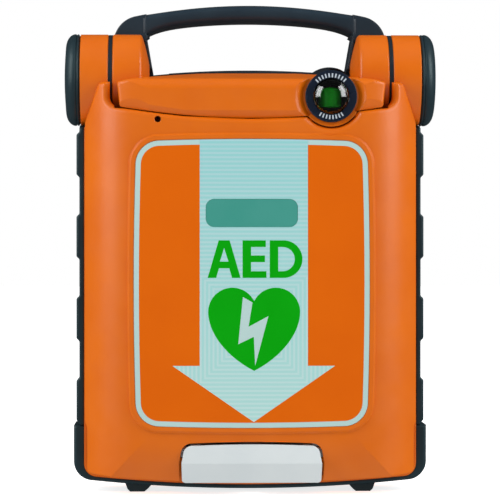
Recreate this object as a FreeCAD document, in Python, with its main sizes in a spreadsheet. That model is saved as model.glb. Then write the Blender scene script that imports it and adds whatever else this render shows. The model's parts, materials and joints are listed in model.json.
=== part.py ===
import FreeCAD
import Part
import math
import os
import re
import Sketcher

# Automated external defibrillator, standing on its feet: +Z up, +X to the right as seen from the front,
# -Y towards the user. The origin is the centre of the footprint, on the surface that the feet stand on.
# Millimetres.

DIMENSIONS = [
    # depth stations, front is negative
    ("rear_y", 43, "rear face of the case"),
    ("split_y", 6, "joint plane of the front and rear housings"),
    ("rim_y", -8, "front face of the front housing's rim"),
    ("lid_edge_y", -9, "rear edge of the lid"),
    ("lid_face_y", -38.5, "flat middle of the lid"),
    ("plateau_y", -39.8, "raised frame around the label"),
    ("wall", 2.5, "moulded wall thickness"),
    ("gap", 0.55, "visible gap between the lid and its neighbours"),
    # hinge
    ("hinge_y", 4, "hinge axis"),
    ("hinge_z", 253.5, "hinge axis"),
    ("barrel_rad", 28.1, "hinge barrels"),
    ("knuckle_in", 62.1, "inner end of the case's knuckle"),
    ("knuckle_out", 84.6, "outer end of the case's knuckle"),
    ("washer_out", 87.1, "outer face of the hinge washer"),
    ("barrel_out", 104.2, "outer end of the lid's barrel"),
    ("cap_out", 114.3, "outer face of the rubber cap: half the overall width"),
    ("cap_rad", 28.4, "rubber cap"),
    ("pin_rad", 3, "hinge pin"),
    ("bush_rad", 5, "outside of the hinge bush"),
    # case
    ("case_half", 102, "half width of the housings"),
    ("case_low_z", 4.6, "lowest point of the housings"),
    ("case_side_z", 10.2, "where the bottom arc meets the sides"),
    ("case_corner", 8, "bottom corner radius"),
    ("shoulder_z", 224, "side top, under the hinge barrels"),
    ("band_z", 240, "joint of the rear housing and the handle frame"),
    ("bottom_arc", 926, "radius of the bottom arc"),
    # handle
    ("top_z", 300.8, "top of the handle: overall height"),
    ("arch_half", 71.6, "half chord of the handle's top arc"),
    ("arch_z", 293.1, "ends of the handle's top arc"),
    ("arch_arc", 336.7, "radius of the handle's top arc"),
    ("block_z", 279, "where the handle's corner arc starts"),
    ("block_arc", 17, "handle corner radius"),
    ("grip_under_z", 283.5, "ends of the arc under the grip"),
    ("grip_half", 59, "half chord of the arc under the grip"),
    ("grip_arc", 298, "radius of the arc under the grip"),
    ("sill_z", 257, "ends of the finger opening's lower edge"),
    ("sill_half", 59.6, "half width of the finger opening at its foot"),
    ("sill_arc", 640, "radius of the finger opening's lower edge"),
    ("flank_half", 63.7, "half width of the finger opening at its head"),
    ("flank_z", 280.5, "head of the finger opening's flank"),
    ("handle_rear_y", 34, "rear of the handle"),
    # brow
    ("brow_half", 79.7, "half width of the brow over the lid"),
    ("brow_low_z", 235.1, "ends of the brow's lower edge"),
    ("brow_low_arc", 464, "radius of the brow's lower edge"),
    ("brow_top_z", 250.5, "ends of the brow's upper edge"),
    ("brow_top_arc", 440, "radius of the brow's upper edge"),
    ("brow_y", -38, "front of the brow"),
    ("sweep_rad", 47.3, "the lid swings outside this radius in the middle"),
    ("sweep_mid", 45.9, "and this one where its crown starts"),
    ("sweep_end", 40.9, "and this one at the ends of the brow"),
    ("sweep_gap", 0.45, "clearance of the swinging lid"),
    # status indicator
    ("dial_x", 48.1, "indicator centre"),
    ("dial_z", 241.4, "indicator centre"),
    ("bezel_rad", 15.6, "indicator bezel"),
    ("bezel_y", -37, "front of the bezel"),
    ("lens_rad", 10.7, "indicator lens"),
    ("lens_y", -43, "crown of the lens: front of the part"),
    ("lens_arc", 13.9, "crown radius of the lens"),
    ("dish_rad", 22, "mouth of the dish around the bezel"),
    ("drum_rad", 6.3, "status drum"),
    ("drum_y", -23.9, "status drum's axis"),
    # lid
    ("lid_half", 101.3, "half width of the lid"),
    ("lid_low_half", 99.9, "half width of the lid beside the corner bumpers"),
    ("lid_step_z", 42, "where the lid narrows"),
    ("lid_low_z", 12.6, "ends of the lid's bottom edge"),
    ("lid_low_arc", 1000, "radius of the lid's bottom edge"),
    ("lobe_z", 250.6, "top of the lid's corner lobes"),
    ("lobe_foot_z", 226.5, "where the lobe's slope leaves the side"),
    ("lobe_arc", 7.4, "curve between a lobe and the brow"),
    ("lobe_out", 92.2, "outer corner of the lobe"),
    ("lobe_in", 85.8, "inner edge of the lobe"),
    ("crown_half", 62, "half width of the lid's flat middle"),
    ("crown_arc", 44.1, "side roundover of the lid"),
    ("foot_arc", 50, "bottom roundover of the lid"),
    ("foot_arc_z", 36, "where the bottom roundover starts"),
    ("pinhole_x", -56.7, "pinhole in the lid"),
    ("pinhole_z", 227.4, "pinhole in the lid"),
    ("pinhole_rad", 1.9, "pinhole in the lid"),
    # label
    ("label_half", 71.1, "half width of the label"),
    ("label_low_z", 41.3, "bottom of the label"),
    ("label_top_z", 215.4, "top of the label"),
    ("label_bow", 1.6, "how far the label's edges bow out"),
    ("label_corner", 14.4, "label corner radius"),
    ("label_thick", 0.7, "label thickness"),
    ("frame_width", 3.9, "raised frame around the label"),
    ("window_half", 27.7, "half width of the expiry window"),
    ("window_low_z", 162.4, "bottom of the expiry window"),
    ("window_top_z", 179.2, "top of the expiry window"),
    ("window_corner", 5, "expiry window corner radius"),
    # latch
    ("latch_low_half", 41.8, "half width of the latch at its foot"),
    ("latch_mid_half", 42.4, "half width of the latch at its crease"),
    ("latch_top_half", 40.4, "half width of the latch at its head"),
    ("latch_low_z", 7.9, "bottom of the latch"),
    ("latch_top_z", 31.2, "top of the latch"),
    ("latch_corner", 5, "latch corner radius"),
    ("latch_gap", 1.4, "gap around the latch"),
    ("crease_z", 19.7, "crease across the latch"),
    ("crease_y", -40.2, "crease across the latch"),
    ("latch_pin_y", -33.8, "latch pivot"),
    ("latch_pin_z", 28.6, "latch pivot"),
    ("latch_pin_rad", 1.25, "latch pivot"),
    # bumpers and feet
    ("bumper_half", 105, "outside of the side bumper"),
    ("pad_half", 106.8, "outside of the side bumper's raised pads"),
    ("shoe_half", 108.4, "outside of the corner bumper"),
    ("shoe_z", 41, "top of the corner bumper"),
    ("shoe_corner", 11.8, "corner bumper radius"),
    ("shoe_low_z", 1.9, "lowest point of the bottom bumper"),
    ("pad_length", 28, "raised pad"),
    ("pad_pitch", 50.3, "spacing of the raised pads"),
    ("pad_first_z", 42.2, "foot of the lowest pad"),
    ("bumper_front_y", -7.6, "front of the bumpers"),
    ("bumper_rear_y", 31, "rear of the bumpers"),
    ("foot_x", 69.5, "feet"),
    ("foot_half", 6, "half width of a foot's sole"),
    # control deck
    ("deck_half", 91.6, "half width of the control fascia"),
    ("deck_low_z", 21, "foot of the control fascia"),
    ("deck_top_z", 217, "head of the control fascia"),
    ("deck_thick", 2.5, "fascia thickness"),
    ("well_left", -86, "pads well"),
    ("well_right", 40, "pads well"),
    ("well_low_z", 28, "pads well"),
    ("well_top_z", 186, "pads well"),
    ("well_floor_y", 3.6, "pads well floor"),
    ("column_x", 66, "centre line of the buttons, socket and speaker"),
    ("shock_z", 56, "shock button"),
    ("shock_rad", 14, "shock button"),
    ("language_z", 93, "language button"),
    ("socket_z", 121, "pads socket"),
    ("speaker_z", 158, "speaker"),
    ("speaker_rad", 18, "speaker"),
    # battery
    ("bay_half", 65, "half width of the battery bay"),
    ("bay_low_z", 38, "battery bay"),
    ("bay_top_z", 106, "battery bay"),
    ("bay_floor_y", 10, "battery bay floor"),
    ("fit_gap", 0.4, "clearance of the battery in its bay"),
]
KNOWN = {alias for alias, _, _ in DIMENSIONS}
WORD = re.compile(r"[a-z_][a-z_0-9]*")
NORMAL_SIGN = {"XZ": -1, "YZ": 1, "XY": 1}
TINY = 1e-4

doc = FreeCAD.newDocument("defibrillator")
sheet = doc.addObject("Spreadsheet::Sheet", "Dim")
for row, (alias, size, meaning) in enumerate(DIMENSIONS, 1):
    sheet.set(f"A{row}", meaning)
    sheet.set(f"B{row}", str(size))
    sheet.setAlias(f"B{row}", alias)
doc.recompute()
nodes = []


# ---------------------------------------------------------------- tools
def link(text):
    """An expression whose words are names in the sheet."""
    return WORD.sub(lambda m: "Dim." + m.group() if m.group() in KNOWN else m.group(), str(text))


def size(text):
    return float(sheet.evalExpression(link(text)))


def bind(thing, **properties):
    """Bind properties to expressions; a dot in a property's name is written as two underscores."""
    for name, text in properties.items():
        thing.setExpression(name.replace("__", "."), link(text))
    return thing


def node(thing, name):
    thing.Label = name
    nodes.append(thing)
    return thing


def draw(body, plane, start, corners):
    """A closed sketch on an origin plane. A corner is (x, y), or (x, y, radius) where an arc runs on to the
    next corner: a positive radius bulges to the right of the way round, a negative one to the left."""
    sketch = body.newObject("Sketcher::SketchObject", "Outline")
    origin = next(f for f in body.Origin.OriginFeatures if f.Role == plane + "_Plane")
    sketch.AttachmentSupport = [(origin, "")]
    sketch.MapMode = "FlatFace"
    bind(sketch, AttachmentOffset__Base__z=f"{NORMAL_SIGN[plane]}*({start})")
    points = [FreeCAD.Vector(size(c[0]), size(c[1]), 0) for c in corners]
    edges = []
    for i, corner in enumerate(corners):
        a, b = points[i], points[(i + 1) % len(points)]
        if len(corner) == 2:
            edge = Part.LineSegment(a, b)
        else:
            radius = size(corner[2])
            chord = b - a
            reach = abs(radius) - math.sqrt(radius**2 - chord.Length**2 / 4)
            side = FreeCAD.Vector(chord.y, -chord.x, 0).normalize() * math.copysign(reach, radius)
            ends = (a, b) if radius > 0 else (b, a)
            edge = Part.Arc(ends[0], (a + b) / 2 + side, ends[1])
        edges.append(sketch.addGeometry(edge))
    for i, corner in enumerate(corners):
        before, after = edges[i - 1], edges[i]
        start_ends = [
            1 if (sketch.Geometry[g].StartPoint - points[i]).Length < TINY else 2 for g in (before, after)
        ]
        sketch.addConstraint(Sketcher.Constraint("Coincident", before, start_ends[0], after, start_ends[1]))
        for word, text, place in (
            ("DistanceX", corner[0], points[i].x),
            ("DistanceY", corner[1], points[i].y),
        ):
            if abs(place) < TINY:
                line = -2 if word == "DistanceX" else -1
                sketch.addConstraint(Sketcher.Constraint("PointOnObject", after, start_ends[1], line))
            else:
                rule = Sketcher.Constraint(word, -1, 1, after, start_ends[1], place)
                number = sketch.addConstraint(rule)
                sketch.setExpression(f"Constraints[{number}]", link(text))
        if len(corner) == 3:
            number = sketch.addConstraint(Sketcher.Constraint("Radius", after, abs(size(corner[2]))))
            sketch.setExpression(f"Constraints[{number}]", link(f"abs({corner[2]})"))
    return sketch


def prism(name, plane, start, end, corners):
    """A body padded from a sketch at start to end along the plane's third axis. In the XZ plane end is in
    front of start."""
    body = doc.addObject("PartDesign::Body", name)
    sketch = draw(body, plane, start, corners)
    pad = body.newObject("PartDesign::Pad", "Pad")
    pad.Profile = sketch
    bind(pad, Length=f"{NORMAL_SIGN[plane]}*(({end})-({start}))")
    body.Tip = pad
    return body


def turned(name, corners):
    """A body revolved about X from a half section (x, radius)."""
    body = doc.addObject("PartDesign::Body", name)
    sketch = draw(body, "XY", "0", corners)
    turn = body.newObject("PartDesign::Revolution", "Turn")
    turn.Profile = sketch
    turn.ReferenceAxis = (sketch, ["H_Axis"])
    turn.Angle = 360
    body.Tip = turn
    return body


def dress(body, kind, amount, test):
    """Fillet or chamfer the edges of a body for which test is true."""
    doc.recompute()
    tip = body.Tip
    names = [f"Edge{i}" for i, edge in enumerate(tip.Shape.Edges, 1) if test(edge)]
    feature = body.newObject("PartDesign::" + kind, kind)
    feature.Base = (tip, names)
    bind(feature, **{"Radius" if kind == "Fillet" else "Size": amount})
    body.Tip = feature
    return body


def soften(thing, *rounds):
    """A Part fillet of any shape: each (radius, test) rounds the edges that its test is first to accept."""
    doc.recompute()
    feature = doc.addObject("Part::Fillet", "Soften")
    feature.Base = thing
    chosen = []
    for i, edge in enumerate(thing.Shape.Edges, 1):
        radius = next((size(r) for r, test in rounds if test(edge)), None)
        if radius:
            chosen.append((i, radius, radius))
    feature.Edges = chosen
    return feature


def runs_along(axis):
    """Edges parallel to an axis."""

    def test(edge):
        span = edge.BoundBox
        spans = {"x": span.XLength, "y": span.YLength, "z": span.ZLength}
        return spans.pop(axis) > 0.1 and max(spans.values()) < TINY

    return test


def lies_on(axis, text):
    """Edges in the plane across an axis at that place."""
    place = size(text)

    def test(edge):
        box = edge.BoundBox
        low, high = {"x": (box.XMin, box.XMax), "y": (box.YMin, box.YMax), "z": (box.ZMin, box.ZMax)}[axis]
        return abs(low - place) < 0.01 and abs(high - place) < 0.01

    return test


def block(x, y, z):
    """A box from three (low, high) pairs."""
    box = doc.addObject("Part::Box", "Block")
    bind(
        box,
        Length=f"({x[1]})-({x[0]})",
        Width=f"({y[1]})-({y[0]})",
        Height=f"({z[1]})-({z[0]})",
        Placement__Base__x=x[0],
        Placement__Base__y=y[0],
        Placement__Base__z=z[0],
    )
    return box


TURN = {
    "x": FreeCAD.Rotation(FreeCAD.Vector(0, 1, 0), 90),
    "y": FreeCAD.Rotation(FreeCAD.Vector(1, 0, 0), -90),
    "z": FreeCAD.Rotation(),
}


def place(thing, axis, x, y, z):
    thing.Placement = FreeCAD.Placement(FreeCAD.Vector(), TURN[axis])
    return bind(thing, Placement__Base__x=x, Placement__Base__y=y, Placement__Base__z=z)


def rod(axis, x, y, z, radius, length):
    """A cylinder from (x, y, z) along an axis."""
    cylinder = doc.addObject("Part::Cylinder", "Rod")
    bind(cylinder, Radius=radius, Height=length)
    return place(cylinder, axis, x, y, z)


def taper(axis, x, y, z, radius, far_radius, length):
    cone = doc.addObject("Part::Cone", "Taper")
    bind(cone, Radius1=radius, Radius2=far_radius, Height=length)
    return place(cone, axis, x, y, z)


def join(*things):
    fused = doc.addObject("Part::MultiFuse", "Join")
    fused.Shapes = list(things)
    return fused


def overlap(*things):
    shared = doc.addObject("Part::MultiCommon", "Overlap")
    shared.Shapes = list(things)
    return shared


def cut(base, *tools):
    for tool in tools:
        step = doc.addObject("Part::Cut", "Cut")
        step.Base = base
        step.Tool = tool
        base = step
    return base


def group(*things):
    """Identical loose pieces kept as one group of separate solids."""
    bundle = doc.addObject("Part::Compound", "Group")
    bundle.Links = list(things)
    return bundle


def mirrored(thing):
    """The same piece on the other side of the middle plane."""
    twin = doc.addObject("Part::Mirroring", "Mirrored")
    twin.Source = thing
    twin.Normal = FreeCAD.Vector(1, 0, 0)
    return twin


def pair(make, name):
    """A right-hand piece and its mirror image on the left."""
    right = node(make(), name + "_right")
    node(mirrored(right), name + "_left")


def rounded_block(x, y, z, radius, axis):
    """A box whose four edges along an axis are rounded."""
    return soften(block(x, y, z), (radius, runs_along(axis)))


def bowed(name, half, low, top, corner, start, end):
    """A label-shaped plate: four slightly bowed sides and round corners, padded forwards from start to end."""
    bow = "label_bow"
    low_in, top_in = f"({low})+{bow}", f"({top})-{bow}"
    half_in = f"({half})-{bow}"
    side_arc = f"(({top_in})-({low_in}))^2/(8*{bow})+{bow}/2"
    end_arc = f"(2*({half_in}))^2/(8*{bow})+{bow}/2"
    corners = [
        (f"-({half_in})", low_in, end_arc),
        (half_in, low_in, side_arc),
        (half_in, top_in, end_arc),
        (f"-({half_in})", top_in, side_arc),
    ]
    return dress(prism(name, "XZ", start, end, corners), "Fillet", corner, runs_along("y"))


# ---------------------------------------------------------------- case
def case_prism(name, inset, start, end):
    """The housings' outline, inset all round, padded forwards from start to end."""
    half, low = f"case_half-{inset}", f"case_side_z+{inset}"
    corners = [
        (f"-({half})", low, "bottom_arc"),
        (half, low),
        (half, f"shoulder_z-{inset}"),
        (f"knuckle_out-0.4-{inset}", f"shoulder_z-{inset}"),
        (f"knuckle_out-0.4-{inset}", f"band_z-0.2-{inset}"),
        (f"-(knuckle_out-0.4-{inset})", f"band_z-0.2-{inset}"),
        (f"-(knuckle_out-0.4-{inset})", f"shoulder_z-{inset}"),
        (f"-({half})", f"shoulder_z-{inset}"),
    ]
    body = prism(name, "XZ", start, end, corners)
    low_corner = size(low) + 1

    def test(edge):
        return runs_along("y")(edge) and edge.BoundBox.ZMax < low_corner

    return dress(body, "Fillet", f"case_corner-{inset}", test)


BOARD_SCREWS = [("-84", "118"), ("-84", "206"), ("84", "144"), ("84", "206")]
SCREWS = [("93", "32"), ("93", "124"), ("76", "228")]


def at_screws(make):
    return [make(f"{sign}{x}", z) for x, z in SCREWS for sign in ("", "-")]


def rear_housing():
    outside = dress(
        case_prism("RearOutside", "0", "rear_y", "split_y"), "Fillet", "7", lies_on("y", "rear_y")
    )
    inside = case_prism("RearInside", "wall", "rear_y-wall", "split_y-1")
    bay_wall = block(
        ("-bay_half-2", "bay_half+2"), ("bay_floor_y-2", "rear_y-1"), ("bay_low_z-2", "bay_top_z+2")
    )
    bay = block(("-bay_half", "bay_half"), ("bay_floor_y", "rear_y+1"), ("bay_low_z", "bay_top_z"))
    posts = at_screws(lambda x, z: rod("y", x, "split_y", z, "4.2", "rear_y-split_y-2"))
    bores = at_screws(lambda x, z: rod("y", x, "split_y-1", z, "1.7", "rear_y-split_y+2"))
    heads = at_screws(lambda x, z: rod("y", x, "rear_y-8", z, "3.2", "9"))
    port = block(("60", "84"), ("rear_y-wall-2", "rear_y+1"), ("198", "212"))
    hollow = cut(outside, inside)
    solid = join(hollow, bay_wall, *posts)
    flap_seat = block(("57.6", "86.4"), ("rear_y-2.1", "rear_y+1"), ("195.6", "214.4"))
    plate_seat = block(("-46.2", "46.2"), ("rear_y-0.6", "rear_y+1"), ("125.8", "182.2"))
    contact_slot = block(("-24.2", "24.2"), ("bay_floor_y-3", "bay_floor_y+1"), ("62", "82"))
    node(
        cut(solid, join(bay, port, flap_seat, plate_seat, contact_slot), join(*bores, *heads)),
        "rear_housing",
    )


def case_screw(x, z):
    head = rod("y", x, "rear_y-8", z, "2.8", "2.4")
    shank = rod("y", x, "-3", z, "1.5", "rear_y-5")
    socket = rod("y", x, "rear_y-6.8", z, "1.3", "2")
    return cut(join(head, shank), socket)


def crown_section(inset, front):
    """The lid's horizontal section, flat in the middle and rounded to the sides, in the XY plane."""
    half = f"case_half-{inset}"
    arc = f"crown_arc-{inset}"
    side = f"({front})+({arc})-sqrt(({arc})^2-({half}-crown_half)^2)"
    return [
        (f"-({half})", "split_y"),
        (f"-({half})", side, arc),
        ("-crown_half", front),
        ("crown_half", front, arc),
        (half, side),
        (half, "split_y"),
    ]


def dish(face, throat):
    """The space in front of the dish around the indicator: it rolls in from a face and narrows to a throat."""
    roll = 5
    rim = "dish_rad+1.6"
    inner = f"{rim}-{roll}*0.7071"
    depth = f"({face})+{roll}*0.2929"
    corners = [
        (f"({face})-8", "0"),
        ("-24", "0"),
        ("-24", throat),
        (f"({depth})+({inner})-({throat})", throat),
        (depth, inner, f"-{roll}"),
        (face, rim),
        (f"({face})-8", rim),
    ]
    tool = turned("Dish", corners)
    tool.Placement = FreeCAD.Placement(FreeCAD.Vector(), FreeCAD.Rotation(FreeCAD.Vector(0, 0, 1), 90))
    return bind(tool, Placement__Base__x="dial_x", Placement__Base__z="dial_z")


def brow():
    """The hood above the lid, curved so that the lid's top edge swings round it."""
    front_view = [
        ("-brow_half", "brow_low_z", "brow_low_arc"),
        ("brow_half", "brow_low_z"),
        ("brow_half+1.8", "brow_top_z", "brow_top_arc"),
        ("-(brow_half+1.8)", "brow_top_z"),
    ]
    face = dress(prism("BrowFace", "XZ", "split_y", "lens_y", front_view), "Fillet", "2", runs_along("y"))
    side_view = [
        ("split_y", "226"),
        ("split_y", "258"),
        ("-4", "257.2"),
        ("brow_y+4.5", "252.2", "7"),
        ("brow_y", "246"),
        ("brow_y", "239", "14"),
        ("brow_y+3.4", "226"),
    ]
    section = prism("BrowSection", "YZ", "-case_half", "case_half", side_view)
    crown = prism("BrowCrown", "XY", "200", "270", crown_section("0.9", "brow_y"))
    form = overlap(face, section, crown, swing("sweep_gap"))

    def at_end(edge):
        at = edge.BoundBox
        return at.YMax < -20 and at.YLength < 1 and at.ZLength > 8 and min(abs(at.XMin), abs(at.XMax)) > 70

    return soften(form, ("2.3", at_end))


def swing(trim):
    """The barrel-shaped space around the hinge axis that the lid's top edge swings past."""
    half = [("83", f"sweep_end-({trim})"), ("crown_half", f"sweep_mid-({trim})"), ("40", f"sweep_rad-({trim})")]
    corners = [("-83", "0"), ("83", "0")] + half + [(f"-({x})", r) for x, r in reversed(half)]
    return bind(turned("Swing", corners), Placement__Base__y="hinge_y", Placement__Base__z="hinge_z")


def knuckle():
    """The front half of the case's hinge knuckle, on the right."""
    corners = [
        ("knuckle_in", "0"),
        ("knuckle_out", "0"),
        ("knuckle_out", "barrel_rad-0.6"),
        ("knuckle_out-0.6", "barrel_rad"),
        ("knuckle_in+5.8", "barrel_rad", "2.6"),
        ("knuckle_in+4.2", "barrel_rad-1.6", "120"),
        ("knuckle_in", "barrel_rad-19"),
    ]
    barrel = turned("Knuckle", corners)
    bind(barrel, Placement__Base__y="hinge_y", Placement__Base__z="hinge_z")
    return barrel


def front_housing():
    ring = case_prism("FrontRing", "0", "split_y", "rim_y")
    opening = rounded_block(
        ("-deck_half", "deck_half"), ("rim_y-1", "split_y+1"), ("deck_low_z", "deck_top_z"), "8", "y"
    )
    right = knuckle()
    behind = block(("-case_half", "case_half"), ("split_y", "60"), ("200", "300"))
    barrels = cut(join(right, mirrored(right)), behind)
    hood = brow()
    coring = block(("-56", "56"), ("rim_y-20", "split_y+1"), ("231.5", "band_z+12"))
    side_coring = rod("x", "66", "hinge_y", "hinge_z", "barrel_rad-3.5", "knuckle_out-68")
    pin_boss = rod("x", "64", "hinge_y", "hinge_z", "6.5", "knuckle_out-64")
    pin_bore = rod("x", "50", "hinge_y", "hinge_z", "pin_rad", "60")
    solid = join(cut(ring, opening), hood, barrels)
    cored = cut(solid, coring, side_coring, mirrored(side_coring))
    inner_boss = cut(pin_boss, behind)
    with_bosses = join(cored, inner_boss, mirrored(inner_boss))
    dial_hole = rod("y", "dial_x", "lens_y", "dial_z", "bezel_rad-1.2", "60")
    dial_seat = rod("y", "dial_x", "lens_y", "dial_z", "bezel_rad+0.3", "-(lens_y)+bezel_y+3.6")
    posts = at_screws(lambda x, z: rod("y", x, "rim_y+3", z, "3.6", "split_y-rim_y-3"))
    bores = at_screws(lambda x, z: rod("y", x, "-3", z, "1.5", "split_y+4"))
    flare = cut(dish("brow_y", "bezel_rad+0.9"), block(("0", "100"), ("bezel_y+3.6", "0"), ("200", "280")))
    clear = join(dial_hole, dial_seat, flare, pin_bore, mirrored(pin_bore), *bores)
    node(cut(join(with_bosses, *posts), clear), "front_housing")


# ---------------------------------------------------------------- handle
def handle_ring(inset):
    """The handle's outline with its finger opening."""
    outer = [
        ("-(knuckle_out-0.4)", "band_z"),
        ("knuckle_out-0.4", "band_z"),
        ("knuckle_out-0.4", "block_z", "block_arc"),
        ("arch_half", "arch_z", "arch_arc"),
        ("-arch_half", "arch_z", "block_arc"),
        ("-(knuckle_out-0.4)", "block_z"),
    ]
    hole = [
        ("-sill_half", "sill_z", "-(sill_arc)"),
        ("sill_half", "sill_z"),
        ("flank_half", "flank_z"),
        ("grip_half", "grip_under_z", "grip_arc"),
        ("-grip_half", "grip_under_z"),
        ("-flank_half", "flank_z"),
    ]
    side_view = [
        ("split_y+0.2", "band_z"),
        ("rear_y-2", "band_z"),
        ("rear_y-2", "249"),
        ("handle_rear_y", "262"),
        ("handle_rear_y", "284", "13"),
        ("handle_rear_y-7", "top_z+0.2"),
        ("split_y+7", "top_z+0.2", "13"),
        ("split_y+0.2", "284"),
    ]
    face = prism("HandleFace", "XZ", "rear_y", "split_y+0.2", outer)
    opening = prism("HandleOpening", "XZ", "rear_y+1", "split_y-1", hole)
    section = prism("HandleSection", "YZ", "-case_half", "case_half", side_view)
    return cut(overlap(face, section), opening)


def handle():
    ring = handle_ring("0")
    hood = rod("y", "dial_x+1.3", "split_y+0.2", "dial_z+2.2", "18.3", "16")
    hood_top = cut(hood, block(("0", "100"), ("0", "60"), ("200", "band_z")))
    coring = block(
        ("-(knuckle_out-3)", "knuckle_out-3"), ("split_y-1", "rear_y-5"), ("band_z-1", "sill_z-3")
    )
    hub = rod("x", "knuckle_in+3", "hinge_y", "hinge_z", "barrel_rad-3.5", "knuckle_out-knuckle_in-6")
    pin_room = rod("x", "50", "hinge_y", "hinge_z", "pin_rad+4.5", "60")
    solid = cut(join(ring, hood_top), coring, hub, mirrored(hub), pin_room, mirrored(pin_room))
    grip_zone = block(("-(grip_half+5)", "grip_half+5"), ("0", "60"), ("grip_under_z-2", "top_z+2"))
    core_view = [
        ("-(grip_half+6)", "grip_under_z+2", "-(grip_arc)"),
        ("grip_half+6", "grip_under_z+2"),
        ("grip_half+6", "arch_z-1.6", "arch_arc"),
        ("-(grip_half+6)", "arch_z-1.6"),
    ]
    core = prism("GripCore", "XZ", "handle_rear_y-8", "split_y+8", core_view)
    node(cut(overlap(solid, grip_zone), core), "handle_grip")
    node(join(cut(solid, grip_zone), overlap(core, grip_zone)), "handle_frame")


# ---------------------------------------------------------------- bumpers and feet
def side_bumper():
    """The rubber strip down the right side, with raised pads that have sloping ends."""
    outline = [("case_half+0.1", "shoe_z+0.1"), ("bumper_half", "shoe_z+0.1")]
    for i in range(4):
        foot = f"pad_first_z+{i}*pad_pitch"
        outline += [
            ("bumper_half", foot),
            ("pad_half", f"{foot}+1.8"),
            ("pad_half", f"{foot}+pad_length-1.8"),
            ("bumper_half", f"{foot}+pad_length"),
        ]
    outline += [("bumper_half", "shoulder_z"), ("case_half+0.1", "shoulder_z")]
    strip = prism("Strip", "XZ", "bumper_rear_y", "bumper_front_y", outline)
    edged = dress(
        strip,
        "Fillet",
        "1.2",
        lambda e: (lies_on("y", "bumper_front_y")(e) or lies_on("y", "bumper_rear_y")(e))
        and e.BoundBox.XMin > size("bumper_half-0.1"),
    )
    tab = block(
        ("case_half+0.1", "bumper_half"),
        ("hinge_y-7", "bumper_rear_y-4"),
        ("shoulder_z-4", "shoulder_z+6"),
    )
    clearance = rod("x", "case_half-5", "hinge_y", "hinge_z", "cap_rad+0.6", "20")
    return cut(join(edged, tab), clearance)


def shoe_prism(name, half, low, corner, start, end, top):
    body = prism(
        name,
        "XZ",
        start,
        end,
        [(f"-({half})", low, "bottom_arc"), (half, low), (half, top), (f"-({half})", top)],
    )
    low_corner = size(low) + 1
    return dress(
        body, "Fillet", corner, lambda e: runs_along("y")(e) and e.BoundBox.ZMax < low_corner
    )


def bottom_bumper():
    low = "shoe_low_z+6.4"
    outside = shoe_prism("Shoe", "shoe_half", low, "shoe_corner", "bumper_rear_y", "bumper_front_y", "shoe_z")
    outside = dress(
        outside,
        "Chamfer",
        "1.3",
        lambda e: lies_on("y", "bumper_front_y")(e) or lies_on("y", "bumper_rear_y")(e),
    )
    inside = shoe_prism(
        "ShoeInside",
        "case_half+0.1",
        "case_side_z-0.1",
        "case_corner+0.1",
        "bumper_rear_y+1",
        "bumper_front_y-1",
        "shoe_z+1",
    )
    right = foot_block("0.05")
    node(cut(outside, inside, right, mirrored(right)), "bumper_bottom")


def foot_block(grow):
    """A rubber foot: a rib that runs front to back."""
    half = f"foot_half+{grow}"
    return prism(
        "Foot",
        "XZ",
        f"bumper_rear_y+3+{grow}",
        f"bumper_front_y+1.5-{grow}",
        [
            (f"foot_x-({half})+1.6", "0"),
            (f"foot_x+({half})-1.6", "0"),
            (f"foot_x+({half})", "1.6"),
            (f"foot_x+({half})+1.6", f"6+{grow}"),
            (f"foot_x-({half})-4.4", f"6+{grow}"),
            (f"foot_x-({half})-0.4", "1.6"),
        ],
    )


# ---------------------------------------------------------------- control deck
def control_fascia():
    sheet_plate = rounded_block(
        ("-(deck_half-0.3)", "deck_half-0.3"),
        ("rim_y", "rim_y+deck_thick"),
        ("deck_low_z+0.3", "deck_top_z-0.3"),
        "7.7",
        "y",
    )
    tub = rounded_block(
        ("well_left-2", "well_right+2"),
        ("rim_y+1", "well_floor_y+2"),
        ("well_low_z-2", "well_top_z+2"),
        "8",
        "y",
    )
    well = rounded_block(
        ("well_left", "well_right"), ("rim_y-1", "well_floor_y"), ("well_low_z", "well_top_z"), "6", "y"
    )
    shock_hole = rod("y", "column_x", "rim_y-1", "shock_z", "shock_rad+0.3", "10")
    language_hole = language_shape("0.3", "rim_y-1", "rim_y+9")
    socket_hole = block(
        ("column_x-12.2", "column_x+12.2"), ("rim_y-1", "rim_y+9"), ("socket_z-8.2", "socket_z+8.2")
    )
    screen_hole = rounded_block(
        ("-78.3", "22.3"), ("rim_y-1", "rim_y+9"), ("194.7", "211.3"), "2.3", "y"
    )
    grille = [
        rod("y", f"column_x+{5 * i + (2.5 if j % 2 else 0)}", "rim_y-1", f"speaker_z+{4.33 * j}", "1.3", "6")
        for j in range(-3, 4)
        for i in range(-3, 4)
        if math.hypot(5 * i + (2.5 if j % 2 else 0), 4.33 * j) < size("speaker_rad-3")
    ]
    behind = "rim_y+deck_thick-0.5"
    bosses = [rod("y", x, behind, z, "3.2", f"8.4-({behind})") for x, z in BOARD_SCREWS]
    bosses += [rod("y", x, behind, z, "2.2", f"1.8-({behind})") for x, z in (("49", "134"), ("85", "29"))]
    bores = [rod("y", x, "4", z, "1.5", "6") for x, z in BOARD_SCREWS]
    holes = join(well, shock_hole, language_hole, socket_hole, screen_hole, *grille, *bores)
    node(cut(join(sheet_plate, tub, *bosses), holes), "control_fascia")


def language_shape(grow, front, back):
    return rounded_block(
        (f"column_x-11-{grow}", f"column_x+11+{grow}"),
        (front, back),
        (f"language_z-5.5-{grow}", f"language_z+5.5+{grow}"),
        f"5.2+{grow}",
        "y",
    )


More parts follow.
